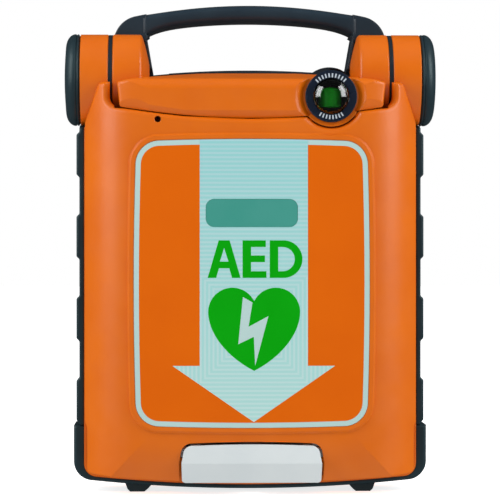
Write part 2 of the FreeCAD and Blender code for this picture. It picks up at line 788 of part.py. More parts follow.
def buttons():
    cap = rod("y", "column_x", "rim_y-3.4", "shock_z", "shock_rad", "6")
    flange = rod("y", "column_x", "rim_y+2.6", "shock_z", "shock_rad+2", "1.2")
    rounded = soften(join(cap, flange), ("1.2", lies_on("y", "rim_y-3.4")))
    node(rounded, "shock_button")
    key = language_shape("0", "rim_y-2.2", "rim_y+2.7")
    key_flange = language_shape("1.6", "rim_y+2.6", "rim_y+3.8")
    node(soften(join(key, key_flange), ("0.8", lies_on("y", "rim_y-2.2"))), "language_button")


def controls():
    node(
        rounded_block(("-78", "22"), ("rim_y+0.2", "rim_y+2.2"), ("195", "211"), "2", "y"), "lcd_window"
    )
    node(block(("-80", "24"), ("rim_y+2.6", "rim_y+7"), ("193", "213")), "lcd_module")
    shell = block(
        ("column_x-12", "column_x+12"), ("rim_y-0.4", "rim_y+8.5"), ("socket_z-8", "socket_z+8")
    )
    mouth = rounded_block(
        ("column_x-9.5", "column_x+9.5"), ("rim_y-1", "rim_y+7"), ("socket_z-5.5", "socket_z+5.5"), "1.5", "y"
    )
    node(cut(shell, mouth), "pads_socket")
    membrane = block(("48", "84"), ("0.6", "1.8"), ("40", "104"))
    domes = [
        taper("y", "column_x", "-1.6", z, radius, f"{radius}+2", "2.4")
        for z, radius in (("shock_z", "6"), ("language_z", "3.5"))
    ]
    node(join(membrane, *domes), "keypad_membrane")
    frame = rod("y", "column_x", "rim_y+3.2", "speaker_z", "speaker_rad", "4")
    magnet = rod("y", "column_x", "rim_y+7", "speaker_z", "9", "7")
    cone_room = taper("y", "column_x", "rim_y+2", "speaker_z", "speaker_rad-1", "7", "4.4")
    node(cut(join(frame, magnet), cone_room), "speaker")
    node(rod("y", "column_x", "rim_y+2.6", "speaker_z", "speaker_rad", "0.5"), "speaker_mesh")


# ---------------------------------------------------------------- electronics
def electronics():
    holes = [rod("y", x, "7", z, "1.6", "4") for x, z in BOARD_SCREWS]
    main = block(("-88", "88"), ("8.4", "10"), ("112", "212"))
    node(cut(main, *holes), "main_board")
    control = block(("46", "88.5"), ("1.9", "3.5"), ("26", "138"))
    chips = [block(("50", "62"), ("3.5", "5.3"), (z, f"{z}+12")) for z in ("30", "108")]
    node(join(control, *chips), "control_board")
    node(
        group(
            *[
                join(rod("y", x, "4.6", z, "1.5", "6"), rod("y", x, "10", z, "2.8", "2"))
                for x, z in BOARD_SCREWS
            ]
        ),
        "board_screws",
    )
    can = rod("x", "-84", "26", "140", "14", "72")
    node(soften(can, ("1.5", lambda e: e.BoundBox.XLength < TINY)), "hv_capacitor")
    core = block(("6", "38"), ("10.2", "34"), ("122", "152"))
    winding = rounded_block(("9", "35"), ("12", "37"), ("126", "148"), "3", "x")
    node(join(core, winding), "charge_transformer")
    base = block(("46", "80"), ("10.2", "14"), ("120", "160"))
    fins = [block((f"{46 + 6 * i}", f"{48 + 6 * i}"), ("13.9", "32"), ("120", "160")) for i in range(6)]
    node(join(base, *fins), "heat_sink")
    node(
        group(
            *[
                block((f"{x}", f"{x}+14"), ("10.2", "13"), ("176", "190"))
                for x in ("-70", "-40", "-10")
            ]
        ),
        "processors",
    )
    node(rod("x", "50", "0.7", "30", "1.2", "16"), "reed_switch")
    node(
        group(
            *[
                block((f"{x}", f"{x}+6"), ("bay_floor_y-2.8", "bay_floor_y+1.4"), ("64", "80"))
                for x in ("-22", "-9", "3", "16")
            ]
        ),
        "battery_contacts",
    )
    shell = block(("66", "78"), ("rear_y-12", "rear_y-2.6"), ("201.5", "208.5"))
    slot = block(("68.2", "75.8"), ("rear_y-9", "rear_y"), ("203.7", "206.3"))
    node(cut(shell, slot), "usb_port")
    node(block(("-46", "46"), ("rear_y-0.6", "rear_y-0.2"), ("126", "182")), "rating_plate")


def pads_pouch():
    pouch = rounded_block(
        ("well_left+2", "well_right-2"),
        ("well_floor_y-17.4", "well_floor_y-0.2"),
        ("well_low_z+2", "well_top_z-2"),
        "7",
        "y",
    )
    node(pouch, "pads_pouch")


# ---------------------------------------------------------------- status indicator
def indicator():
    depth = "dial_z"
    ring = rod("y", "dial_x", "bezel_y", depth, "bezel_rad", "3.4")
    eye = rod("y", "dial_x", "bezel_y-1", depth, "lens_rad+0.05", "6")
    lip = soften(cut(ring, eye), ("0.6", lies_on("y", "bezel_y")))
    node(lip, "indicator_bezel")
    dome = doc.addObject("Part::Sphere", "Dome")
    bind(dome, Radius="lens_arc")
    place(dome, "z", "dial_x", "lens_y+lens_arc", "dial_z")
    stem = rod("y", "dial_x", "lens_y-1", "dial_z", "lens_rad", "bezel_y+5-lens_y")
    flange = rod("y", "dial_x", "bezel_y+3.5", "dial_z", "lens_rad+2", "1.5")
    room = doc.addObject("Part::Sphere", "DomeRoom")
    bind(room, Radius="lens_arc-1.4")
    place(room, "z", "dial_x", "lens_y+lens_arc", "dial_z")
    bore = rod("y", "dial_x", "lens_y-1", "dial_z", "lens_rad-1.4", "bezel_y+7-lens_y")
    flat = block(("0", "100"), ("bezel_y", "0"), ("200", "280"))
    hollow = join(overlap(bore, room), overlap(bore, flat))
    node(cut(join(overlap(stem, dome), flange), hollow), "indicator_lens")
    cup = rod("y", "dial_x", "bezel_y+5.2", depth, "bezel_rad-1.4", "20")
    inside = rod("y", "dial_x", "bezel_y+4", depth, "bezel_rad-3", "19")
    pivot = rod("z", "dial_x", "drum_y", "dial_z-13", "1.2", "26")
    node(join(cut(cup, inside), overlap(pivot, cup)), "indicator_housing")
    drum = rod("z", "dial_x", "drum_y", "dial_z-6.5", "drum_rad", "13")
    axle_bore = rod("z", "dial_x", "drum_y", "dial_z-9", "1.25", "20")
    node(cut(soften(drum, ("2", lies_on("z", "dial_z+6.5"))), axle_bore), "status_drum")


# ---------------------------------------------------------------- lid
def lid_outline(inset, lobes):
    """The lid's outline on the front, with or without the corner lobes beside the hinge."""
    top = f"brow_low_z-gap-{inset}"
    up = [
        (f"lid_low_half-{inset}", f"lid_low_z+{inset}"),
        (f"lid_low_half-{inset}", "lid_step_z-1.4"),
        (f"lid_half-{inset}", "lid_step_z+1.4"),
    ]
    if lobes:
        up += [("lid_half", "lobe_foot_z"), ("lobe_out", "lobe_z"), ("lobe_in", "lobe_z")]
        up += [("lobe_in", "brow_low_z+6.5")]
        arcs = ["-lobe_arc", "-(brow_low_arc+gap)", "-lobe_arc"]
    else:
        up += [(f"lid_half-{inset}", "lobe_foot_z-8")]
        arcs = [None, "-(brow_low_arc+gap)", None]
    corners = up + [("brow_half", top), ("-brow_half", top)]
    corners += [(f"-({x})", z) for x, z in reversed(up)]
    first = len(up) - 1
    for i, radius in enumerate(arcs, first):
        if radius:
            corners[i] += (radius,)
    corners[-1] += ("lid_low_arc",)
    return corners


def lid_prism(name, inset, start, end):
    body = prism(name, "XZ", start, end, lid_outline(inset, inset == "0"))
    low_corner = size(f"lid_low_z+{inset}") + 1
    lobe_top = size("lobe_z") - 0.5

    def corners(edge):
        if not runs_along("y")(edge):
            return False
        at = edge.BoundBox
        return at.ZMax < low_corner or (inset == "0" and at.ZMin > lobe_top and abs(at.XMin) > 90)

    return dress(body, "Fillet", "3.5", corners)


def lid_form(inset, start, end):
    """The lid's crowned form, or the same form inset."""
    face = lid_prism("LidFace", inset, start, end)
    front = f"lid_face_y+{inset}"
    crown = prism("LidCrown", "XY", "0", "270", crown_section(inset, front))
    fall = f"(foot_arc-{inset})-sqrt((foot_arc-{inset})^2-(foot_arc_z)^2)"
    profile = [
        ("split_y", "0"),
        ("split_y", "270"),
        (front, "270"),
        (front, "foot_arc_z", f"foot_arc-{inset}"),
        (f"({front})+{fall}", "0"),
    ]
    section = prism("LidSection", "YZ", "-case_half", "case_half", profile)
    return overlap(face, crown, section)


def barrel():
    """The lid's hinge barrel on the right, cored from its outer end."""
    corners = [
        ("washer_out", "bush_rad"),
        ("barrel_out", "bush_rad"),
        ("barrel_out", "bush_rad+3"),
        ("washer_out+3", "bush_rad+3"),
        ("washer_out+3", "barrel_rad-wall"),
        ("barrel_out", "barrel_rad-wall"),
        ("barrel_out", "barrel_rad"),
        ("washer_out+0.5", "barrel_rad"),
        ("washer_out", "barrel_rad-0.5"),
    ]
    return bind(turned("Barrel", corners), Placement__Base__y="hinge_y", Placement__Base__z="hinge_z")


def latch_outline(grow):
    low_half, mid_half, top_half = (f"latch_{level}_half+{grow}" for level in ("low", "mid", "top"))
    top = f"latch_top_z-1+{grow}"
    return [
        (f"-({mid_half})", "crease_z"),
        (f"-({low_half})", "0"),
        (low_half, "0"),
        (mid_half, "crease_z"),
        (top_half, top, "780"),
        (f"-({top_half})", top),
    ]


def latch_prism(name, grow, start, end):
    body = prism(name, "XZ", start, end, latch_outline(grow))
    high = size(f"latch_top_z-1+{grow}") - 1
    return dress(
        body, "Fillet", f"latch_corner+{grow}", lambda e: runs_along("y")(e) and e.BoundBox.ZMin > high
    )


def outer_front(edge):
    """True for the edges at the lid's front, out past the ends of its straight foot."""
    at = edge.BoundBox
    return at.YMax < size("lid_edge_y-0.5") and at.XLength < 20 and min(abs(at.XMin), abs(at.XMax)) > 85


def on_lobe(edge):
    return outer_front(edge) and edge.BoundBox.ZMin > 226


def lid():
    skin = soften(lid_form("0", "lid_edge_y", "lens_y-2"), ("2.8", on_lobe), ("0.9", outer_front))
    hollow = lid_form("wall", "lid_edge_y+1", "lens_y")
    plateau = bowed(
        "Plateau",
        "label_half+frame_width",
        "label_low_z-frame_width",
        "label_top_z+frame_width",
        "label_corner+frame_width",
        "lid_face_y+wall",
        "plateau_y",
    )
    plateau = dress(plateau, "Chamfer", "1.2", lies_on("y", "plateau_y"))
    recess = bowed(
        "Recess",
        "label_half+0.2",
        "label_low_z-0.2",
        "label_top_z+0.2",
        "label_corner+0.2",
        "plateau_y+label_thick+0.1",
        "plateau_y-1",
    )
    window = rounded_block(
        ("-(window_half+0.1)", "window_half+0.1"),
        ("lens_y", "lid_face_y+5"),
        ("window_low_z-0.1", "window_top_z+0.1"),
        "window_corner",
        "y",
    )
    latch_hole = latch_prism("LatchHole", "latch_gap", "rim_y", "lens_y-2")
    pinhole = rod("y", "pinhole_x", "lens_y", "pinhole_z", "pinhole_rad", "12")
    scallop = dish("lid_face_y", "bezel_rad+2.7")
    sweep = rod("x", "-(washer_out-0.05)", "hinge_y", "hinge_z", "barrel_rad+0.7", "2*(washer_out-0.05)")
    right = barrel()
    shell = cut(skin, hollow)
    boss = cut(
        block(("latch_low_half+2", "latch_low_half+7"), ("-37", "-30.8"), ("24.5", "32.5")),
        rod("x", "40", "latch_pin_y", "latch_pin_z", "latch_pin_rad", "20"),
    )
    trimmed = cut(join(shell, plateau), sweep, swing("0"))
    with_barrels = join(trimmed, right, mirrored(right))
    bore = rod("x", "60", "hinge_y", "hinge_z", "bush_rad", "60")
    core = rod("x", "washer_out+3", "hinge_y", "hinge_z", "barrel_rad-wall", "30")
    core_keep = rod("x", "washer_out+2", "hinge_y", "hinge_z", "bush_rad+3", "32")
    coring = cut(core, core_keep)
    posts = [
        cut(rod("y", x, "lid_face_y+1", z, "3", "4"), rod("y", x, "-35.7", z, "1.6", "5"))
        for x in ("-66", "66")
        for z in ("54", "204")
    ]
    solid = join(cut(with_barrels, coring, mirrored(coring)), boss, mirrored(boss), *posts)
    openings = join(recess, window, latch_hole, pinhole, scallop, bore, mirrored(bore))
    keep_boss = cut(openings, join(boss, mirrored(boss)))
    node(cut(solid, keep_boss), "lid_shell")


def label():
    plate = bowed(
        "Label",
        "label_half",
        "label_low_z",
        "label_top_z",
        "label_corner",
        "plateau_y+label_thick+0.1",
        "plateau_y+0.1",
    )
    hole = rounded_block(
        ("-(window_half+0.1)", "window_half+0.1"),
        ("lens_y", "lid_face_y+5"),
        ("window_low_z-0.1", "window_top_z+0.1"),
        "window_corner",
        "y",
    )
    node(cut(plate, hole), "label_panel")
    node(
        rounded_block(
            ("-window_half", "window_half"),
            ("plateau_y+0.2", "lid_face_y+wall"),
            ("window_low_z", "window_top_z"),
            "window_corner-0.1",
            "y",
        ),
        "expiry_window",
    )


def lid_fittings():
    panel = rounded_block(("-74", "74"), ("-33.4", "-31.8"), ("44", "214"), "8", "y")
    rim = cut(
        rounded_block(("-74", "74"), ("-33.4", "-28.5"), ("44", "214"), "8", "y"),
        rounded_block(("-72", "72"), ("-34", "-28"), ("46", "212"), "6", "y"),
    )
    ribs = [block(("-72.5", "72.5"), ("-32", "-29.5"), (z, f"{z}+1.6")) for z in ("84", "124", "192")]
    view = block(("-(window_half-1)", "window_half-1"), ("-40", "-28"), ("window_low_z+1", "window_top_z-1"))
    holes = [rod("y", x, "-40", z, "1.8", "12") for x in ("-66", "66") for z in ("54", "204")]
    node(cut(join(panel, rim, *ribs), view, *holes), "lid_liner")
    node(
        group(
            *[
                join(rod("y", x, "-35.6", z, "1.6", "5"), rod("y", x, "-31.7", z, "3", "1.4"))
                for x in ("-66", "66")
                for z in ("54", "204")
            ]
        ),
        "lid_screws",
    )
    node(rod("y", "58", "lid_face_y+wall", "40", "3", "5"), "lid_magnet")
    length = "2*latch_low_half+12"
    node(
        rod("x", "-(latch_low_half+6)", "latch_pin_y", "latch_pin_z", "latch_pin_rad", length), "latch_pin"
    )
    coil = doc.addObject("Part::Helix", "Coil")
    coil.Pitch, coil.Height, coil.Radius = 0.9, 5.4, 1.6
    wire = doc.addObject("Part::Circle", "Wire")
    wire.Radius = 0.3
    wire.Placement = FreeCAD.Placement(
        FreeCAD.Vector(1.6, 0, 0), FreeCAD.Rotation(FreeCAD.Vector(1, 0, 0), 90)
    )
    spring = doc.addObject("Part::Sweep", "Spring")
    spring.Sections = [wire]
    spring.Spine = (coil, ["Edge1"])
    spring.Solid = True
    spring.Frenet = True
    node(place(spring, "x", "16", "latch_pin_y", "latch_pin_z"), "latch_spring")


def hinge_cap():
    corners = [
        ("barrel_out", "0"),
        ("cap_out", "0"),
        ("cap_out", "10", "60"),
        ("cap_out-1.4", "21.4", "9"),
        ("cap_out-6.6", "cap_rad"),
        ("barrel_out+1.7", "cap_rad"),
        ("barrel_out+1.2", "cap_rad-1"),
        ("barrel_out", "cap_rad-1"),
    ]
    return bind(turned("Cap", corners), Placement__Base__y="hinge_y", Placement__Base__z="hinge_z")


def hinge_parts():
    pair(hinge_cap, "hinge_cap")
    pair(lambda: rod("x", "66", "hinge_y", "hinge_z", "pin_rad", "barrel_out-67"), "hinge_pin")
    pair(
        lambda: cut(
            rod("x", "knuckle_out+0.1", "hinge_y", "hinge_z", "barrel_rad-0.3", "washer_out-knuckle_out-0.2"),
            rod("x", "50", "hinge_y", "hinge_z", "pin_rad", "60"),
        ),
        "hinge_washer",
    )
    pair(
        lambda: cut(
            rod("x", "washer_out", "hinge_y", "hinge_z", "bush_rad", "barrel_out-washer_out-1.5"),
            rod("x", "50", "hinge_y", "hinge_z", "pin_rad+0.05", "60"),
        ),
        "hinge_bush",
    )


# ---------------------------------------------------------------- latch
def latch():
    face = latch_prism("LatchFace", "0", "rim_y", "lens_y-2")
    side_view = [
        ("lid_face_y-0.3", "latch_top_z+0.5"),
        ("crease_y", "crease_z"),
        ("lid_face_y+2.2", "latch_low_z"),
        ("lid_face_y+5", "latch_low_z"),
        ("crease_y+2.8", "crease_z"),
        ("lid_face_y+2.4", "latch_top_z+0.5"),
    ]
    section = overlap(face, prism("LatchSection", "YZ", "-60", "60", side_view))
    plate = soften(
        section, ("2.2", lambda e: runs_along("y")(e) and e.BoundBox.ZMax < size("latch_low_z+0.1"))
    )
    arm_view = [
        ("lid_face_y+4", "9.4"),
        ("-10", "9.4"),
        ("-9", "10.6"),
        ("-9", "13.4"),
        ("-10.4", "15.6"),
        ("-10.7", "12.4"),
        ("lid_face_y+5", "12.4"),
    ]
    arm = prism("LatchArm", "YZ", "-6", "6", arm_view)
    ears = []
    for x in ("-37", "-10", "4", "31"):
        ears.append(rod("x", x, "latch_pin_y", "latch_pin_z", "2.5", "6"))
        ears.append(block((x, f"{x}+6"), ("-37", "latch_pin_y"), ("latch_pin_z-2.5", "latch_pin_z+2.1")))
    bore = rod("x", "-50", "latch_pin_y", "latch_pin_z", "latch_pin_rad+0.05", "100")
    node(cut(join(plate, arm, *ears), bore), "latch_lever")
    plate = block(("-14", "14"), ("rim_y-1.2", "rim_y"), ("16.4", "20.6"))
    arms = [block((x, f"{x}+3"), ("-14.8", "rim_y"), ("13.4", "20.6")) for x in ("-10.5", "7.5")]
    bar = block(("-10.5", "10.5"), ("-14.8", "-12.3"), ("13.4", "16.2"))
    node(join(plate, *arms, bar), "lid_catch")


# ---------------------------------------------------------------- battery
def battery():
    outer = block(
        ("-(bay_half-fit_gap)", "bay_half-fit_gap"),
        ("bay_floor_y+1.6", "rear_y-3.2"),
        ("bay_low_z+fit_gap", "bay_top_z-fit_gap"),
    )
    inner = block(
        ("-(bay_half-fit_gap-2)", "bay_half-fit_gap-2"),
        ("bay_floor_y+3.6", "rear_y-3"),
        ("bay_low_z+fit_gap+2", "bay_top_z-fit_gap-2"),
    )
    node(cut(outer, inner), "battery_case")
    cover = block(
        ("-(bay_half-fit_gap)", "bay_half-fit_gap"),
        ("rear_y-3.1", "rear_y"),
        ("bay_low_z+fit_gap", "bay_top_z-fit_gap"),
    )
    scoop = rod("x", "-18", "rear_y+4", "96", "6", "36")
    node(cut(cover, scoop), "battery_cover")
    node(
        group(*[rod("z", f"{-45 + 30 * i}", "25.6", "44", "11.6", "56") for i in range(4)]),
        "battery_cells",
    )


def usb_cover():
    """A rubber flap on a living hinge along its lower edge."""
    flap = block(("58", "86"), ("rear_y-2", "rear_y-0.2"), ("197", "214"))
    roll = rod("x", "58", "rear_y-1.1", "197", "0.9", "28")
    plug = rounded_block(("67", "77"), ("rear_y-2.5", "rear_y-1.9"), ("203", "207"), "1", "y")
    node(join(flap, roll, plug), "usb_cover")


def build():
    rear_housing()
    node(group(*at_screws(case_screw)), "case_screws")
    front_housing()
    handle()
    pair(side_bumper, "bumper")
    bottom_bumper()
    pair(lambda: foot_block("0"), "foot")
    control_fascia()
    buttons()
    controls()
    electronics()
    pads_pouch()
    indicator()
    lid()
    label()
    lid_fittings()
    hinge_parts()
    latch()
    battery()
    usb_cover()


def export():
    doc.recompute()
    failed = [o.Label for o in doc.Objects if "Invalid" in o.State or "Error" in o.State]
    if failed:
        raise RuntimeError(f"failed objects: {failed}")
    for piece in nodes:
        if piece.Shape.isNull() or not piece.Shape.isValid() or not piece.Shape.Solids:
            raise RuntimeError(f"{piece.Label} has no valid solid")
    os.makedirs("parts", exist_ok=True)
    for old in os.listdir("parts"):
        os.remove(os.path.join("parts", old))
    for piece in nodes:
        piece.Shape.exportStep(os.path.join("parts", piece.Label + ".step"))
        print(f"{piece.Label:22s} {len(piece.Shape.Solids):3d} solids {piece.Shape.Volume / 1000:9.2f} cm3")


build()
export()
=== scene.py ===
"""Looks of the defibrillator: finishes, printed label, soft parts and studio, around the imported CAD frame."""

import json
import math

import bmesh
import bpy
import numpy as np
from mathutils import Matrix, Vector
from mathutils.bvhtree import BVHTree


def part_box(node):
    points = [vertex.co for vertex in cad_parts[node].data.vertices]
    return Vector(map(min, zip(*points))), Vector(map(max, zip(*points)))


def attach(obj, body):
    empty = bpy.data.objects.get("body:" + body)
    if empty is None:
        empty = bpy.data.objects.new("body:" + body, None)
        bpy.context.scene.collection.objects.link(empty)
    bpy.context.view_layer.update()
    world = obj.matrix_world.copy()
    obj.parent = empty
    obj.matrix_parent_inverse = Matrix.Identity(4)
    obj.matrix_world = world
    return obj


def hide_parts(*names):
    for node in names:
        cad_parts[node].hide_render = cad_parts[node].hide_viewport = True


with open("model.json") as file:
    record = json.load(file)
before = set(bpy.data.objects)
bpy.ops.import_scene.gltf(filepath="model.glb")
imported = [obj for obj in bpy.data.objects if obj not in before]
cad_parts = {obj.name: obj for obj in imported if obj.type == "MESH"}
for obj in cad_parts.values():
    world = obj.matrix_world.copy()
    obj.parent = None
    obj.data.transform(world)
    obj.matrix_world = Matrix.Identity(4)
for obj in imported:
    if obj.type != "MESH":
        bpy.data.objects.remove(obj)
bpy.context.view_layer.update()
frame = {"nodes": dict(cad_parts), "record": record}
NODES = frame["nodes"]
SLOT_OF = {row["node"]: row["material_slot"] for row in frame["record"]["subparts"]}
BODY_OF = {node: body for body, nodes in frame["record"]["behaviour"]["bodies"].items() for node in nodes}
MM = 0.001
FRONT_TURN = Matrix.Rotation(math.pi / 2, 4, "X")


# ---------------------------------------------------------------- finishes
def linear(red, green, blue):
    """A screen colour, 0 to 255, as the linear values that shaders take."""
    parts = [c / 255 for c in (red, green, blue)]
    return tuple(c / 12.92 if c < 0.04045 else ((c + 0.055) / 1.055) ** 2.4 for c in parts) + (1,)


class Finish:
    """A procedural material: one Principled shader, with textures read in the object's own metres."""

    def __init__(self, name, **sockets):
        self.material = bpy.data.materials.new(name)
        self.material.use_nodes = True
        self.tree = self.material.node_tree
        self.shader = self.tree.nodes["Principled BSDF"]
        self.place = self.tree.nodes.new("ShaderNodeTexCoord").outputs["Object"]
        for socket, value in sockets.items():
            self.shader.inputs[socket.replace("_", " ")].default_value = value

    def node(self, kind, inputs=(), **settings):
        """Adds a shader node. Each input is a value, or a socket to link from."""
        made = self.tree.nodes.new("ShaderNode" + kind)
        for key, value in settings.items():
            setattr(made, key, value)
        for key, value in dict(inputs).items():
            if isinstance(value, bpy.types.NodeSocket):
                self.tree.links.new(value, made.inputs[key])
            else:
                made.inputs[key].default_value = value
        return made

    def link(self, output, socket):
        """Feeds a socket of the Principled shader."""
        self.tree.links.new(output, self.shader.inputs[socket])
        return self

    def noise(self, size, detail=3, stretch=None):
        """Noise whose features are about size metres across."""
        place = self.place
        if stretch:
            place = self.node("Mapping", {"Vector": place, "Scale": stretch}).outputs["Vector"]
        return self.node("TexNoise", {"Vector": place, "Scale": 1 / size, "Detail": detail}).outputs["Fac"]

    def ramp(self, factor, *stops):
        """Colours at (place, colour) stops."""
        made = self.node("ValToRGB", {"Fac": factor})
        elements = made.color_ramp.elements
        while len(elements) < len(stops):
            elements.new(0.5)
        for element, (at, colour) in zip(elements, stops):
            element.position, element.color = at, colour
        return made.outputs["Color"]

    def remap(self, value, low, high):
        """Stretches the middle of a noise from low to high."""
        made = self.node("MapRange", {"Value": value, "From Min": 0.3, "From Max": 0.7})
        made.inputs["To Min"].default_value = low
        made.inputs["To Max"].default_value = high
        return made.outputs["Result"]

    def clouds(self, one, two, size=0.03):
        """Two close tints in soft clouds, as pigment and light dust give a moulding."""
        return self.link(self.ramp(self.noise(size, 4), (0.35, one), (0.65, two)), "Base Color")

    def gloss(self, low, high, size=0.012):
        """A roughness that drifts between two values, as handling leaves it."""
        return self.link(self.remap(self.noise(size, 5), low, high), "Roughness")

    def relief(self, size, depth, edge=0.0, detail=2, stretch=None):
        """A surface texture of that feature size and depth in metres, with edges softened in the shading."""
        inputs = {"Height": self.noise(size, detail, stretch), "Strength": 1, "Distance": depth}
        if edge:
            inputs["Normal"] = self.node("Bevel", {"Radius": edge}, samples=4).outputs["Normal"]
        return self.link(self.node("Bump", inputs).outputs["Normal"], "Normal")


def moulded(name, one, two, low, high, grain=0.0005, depth=0.000006, edge=0.0006, **sockets):
    """A moulded plastic or rubber between two tints and two roughnesses, with a spark-eroded grain."""
    finish = Finish(name, **sockets)
    finish.clouds(linear(*one), linear(*two))
    finish.gloss(low, high)
    finish.relief(grain, depth, edge)
    return finish.material


def printed(name, one, two, gloss=0.34):
    """Ink under a polyester film: an almost even tint with a faint orange-peel gloss."""
    finish = Finish(name, Specular_IOR_Level=0.1)
    finish.clouds(linear(*one), linear(*two), 0.05)
    finish.gloss(gloss, gloss + 0.08)
    finish.relief(0.004, 0.000004)
    return finish.material


def metal(name, colour, low, high, stretch):
    """Bare metal with fine tooling lines along one direction."""
    finish = Finish(name, Metallic=1.0)
    finish.clouds(colour, tuple(c * 0.86 for c in colour[:3]) + (1,), 0.006)
    finish.link(finish.remap(finish.noise(0.0008, 3, stretch), low, high), "Roughness")
    finish.relief(0.0006, 0.000004, 0.0003, stretch=stretch)
    return finish.material


ORANGE = moulded(
    "orange_moulding", (217, 102, 0), (222, 107, 1), 0.29, 0.37, 0.0006, 0.000008, 0.0009,
    Specular_IOR_Level=0.46,
)
RUBBER = moulded(
    "soft_rubber", (29, 45, 52), (34, 51, 58), 0.36, 0.46, 0.0005, 0.00001, 0.0012,
    Specular_IOR_Level=0.46, Specular_Tint=(0.78, 1, 1, 1),
)
DARK = moulded(
    "dark_moulding", (28, 37, 46), (32, 42, 51), 0.36, 0.46, 0.0006, 0.000008, Specular_IOR_Level=0.4,
)
LIGHT = moulded("light_moulding", (208, 216, 218), (214, 221, 222), 0.30, 0.38, 0.0007, 0.000004, 0.0008)
NAVY = moulded("navy_moulding", (19, 29, 46), (22, 33, 51), 0.25, 0.33, 0.0006, 0.000003, 0.0004)
CUP = moulded("cup_moulding", (7, 7, 8), (10, 10, 11), 0.6, 0.7, Specular_IOR_Level=0.15)
FASCIA = moulded("fascia_moulding", (176, 182, 184), (182, 188, 190), 0.42, 0.52, 0.0006, 0.00001)
BUTTON = moulded("button_moulding", (196, 200, 202), (201, 205, 207), 0.36, 0.44, 0.0006, 0.000004, 0.0008)
SHOCK = moulded(
    "shock_moulding", (226, 82, 12), (231, 90, 16), 0.18, 0.26, 0.0008, 0.000002, 0.0009, Coat_Weight=0.4,
    Subsurface_Weight=0.08,
)
HANDLE = moulded(
    "handle_moulding", (33, 47, 58), (38, 53, 64), 0.36, 0.46, 0.0006, 0.000008, 0.0018,
    Specular_IOR_Level=0.34,
)
BATTERY = moulded("battery_moulding", (62, 66, 70), (68, 72, 76), 0.42, 0.52, 0.0005, 0.00001)
CHIP = moulded("chip_moulding", (28, 28, 29), (34, 34, 35), 0.35, 0.45, 0.0004, 0.000004)
SLEEVE = moulded("capacitor_sleeve", (30, 52, 118), (34, 58, 126), 0.24, 0.32, 0.002, 0.000006)
PLATE = printed("plate_print", (226, 227, 224), (231, 232, 229), 0.32)
STEEL = metal("turned_steel", (0.62, 0.62, 0.63, 1), 0.22, 0.4, (1, 8, 8))
BRASS = metal("brass", (0.78, 0.58, 0.27, 1), 0.24, 0.4, (1, 8, 8))
ALUMINIUM = metal("extruded_aluminium", (0.72, 0.73, 0.75, 1), 0.3, 0.45, (8, 8, 1))
WIRE = metal("enamelled_wire", (0.62, 0.27, 0.12, 1), 0.25, 0.4, (1, 6, 40))


def circuit_board():
    """Green solder mask over a faint lattice of tracks."""
    finish = Finish("circuit_board", Coat_Weight=0.3)
    bricks = finish.node("TexBrick", {
        "Vector": finish.place, "Scale": 160, "Mortar Size": 0.04, "Color1": linear(14, 82, 38),
        "Color2": linear(12, 74, 34), "Mortar": linear(34, 116, 62),
    })
    finish.link(bricks.outputs["Color"], "Base Color")
    finish.gloss(0.3, 0.42)
    finish.relief(0.0012, 0.000008)
    return finish.material


def clear(name, tint, rough, **sockets):
    """Clear polycarbonate with faint handling marks."""
    finish = Finish(name, Transmission_Weight=1.0, **({"IOR": 1.49} | sockets))
    finish.shader.inputs["Base Color"].default_value = linear(*tint)
    finish.gloss(rough, rough + 0.015)
    return finish.material


def expiry_tint():
    """The teal-tinted window over the pads' date."""
    finish = Finish("window_tint", Specular_IOR_Level=0.3)
    finish.clouds(linear(59, 148, 134), linear(66, 151, 138), 0.025)
    finish.gloss(0.3, 0.38)
    finish.relief(0.006, 0.000006)
    return finish.material


def flag_print(axis_y, blend=0.0001):
    """Green towards the front and red towards the back, so that half a turn changes the signal."""
    finish = Finish("flag_print")
    depth = finish.node("SeparateXYZ", {"Vector": finish.place}).outputs["Y"]
    back = finish.node("MapRange", {"Value": depth, "From Min": axis_y - blend, "From Max": axis_y + blend})
    mix = finish.node("MixRGB", {
        "Fac": back.outputs["Result"], "Color1": linear(0, 232, 22), "Color2": linear(206, 24, 14),
    })
    finish.link(mix.outputs["Color"], "Base Color")
    finish.gloss(0.35, 0.45)
    finish.relief(0.0005, 0.000004)
    return finish.material


def arrow_print(centre, half_pitch=0.00128):
    """Pale ink with a fine pattern of concentric outlines around the heart."""
    finish = Finish("arrow_print", Specular_IOR_Level=0.35)
    split = finish.node("SeparateXYZ", {"Vector": finish.place})
    across = finish.node("Math", {0: split.outputs["X"], 1: centre[0]}, operation="SUBTRACT")
    up = finish.node("Math", {0: split.outputs["Z"], 1: centre[1]}, operation="SUBTRACT")
    wide = finish.node("Math", {0: across.outputs[0]}, operation="ABSOLUTE")
    tall = finish.node("Math", {0: up.outputs[0]}, operation="ABSOLUTE")
    rings = finish.node("Math", {0: wide.outputs[0], 1: tall.outputs[0]}, operation="MAXIMUM")
    wave = finish.node("Math", {0: rings.outputs[0], 1: half_pitch}, operation="PINGPONG")
    share = finish.node("Math", {0: wave.outputs[0], 1: half_pitch}, operation="DIVIDE")
    height = finish.node("MapRange", {"Value": split.outputs["Z"], "From Min": 0.05, "From Max": 0.21})
    ground = finish.ramp(height.outputs["Result"], (0, linear(168, 214, 210)), (1, linear(146, 205, 205)))
    line = finish.ramp(height.outputs["Result"], (0, linear(188, 219, 216)), (1, linear(166, 208, 211)))
    mask = finish.node("MapRange", {"Value": share.outputs[0], "From Min": 0.45, "From Max": 0.65})
    mix = finish.node("MixRGB", {"Fac": mask.outputs["Result"], "Color1": ground, "Color2": line})
    finish.link(mix.outputs["Color"], "Base Color")
    finish.gloss(0.3, 0.38)
    finish.relief(0.004, 0.000004)
    return finish.material


def coat(data, material):
    """Gives a whole mesh one finish."""
    data.materials.clear()
    data.materials.append(material)
    data.polygons.foreach_set("material_index", [0] * len(data.polygons))


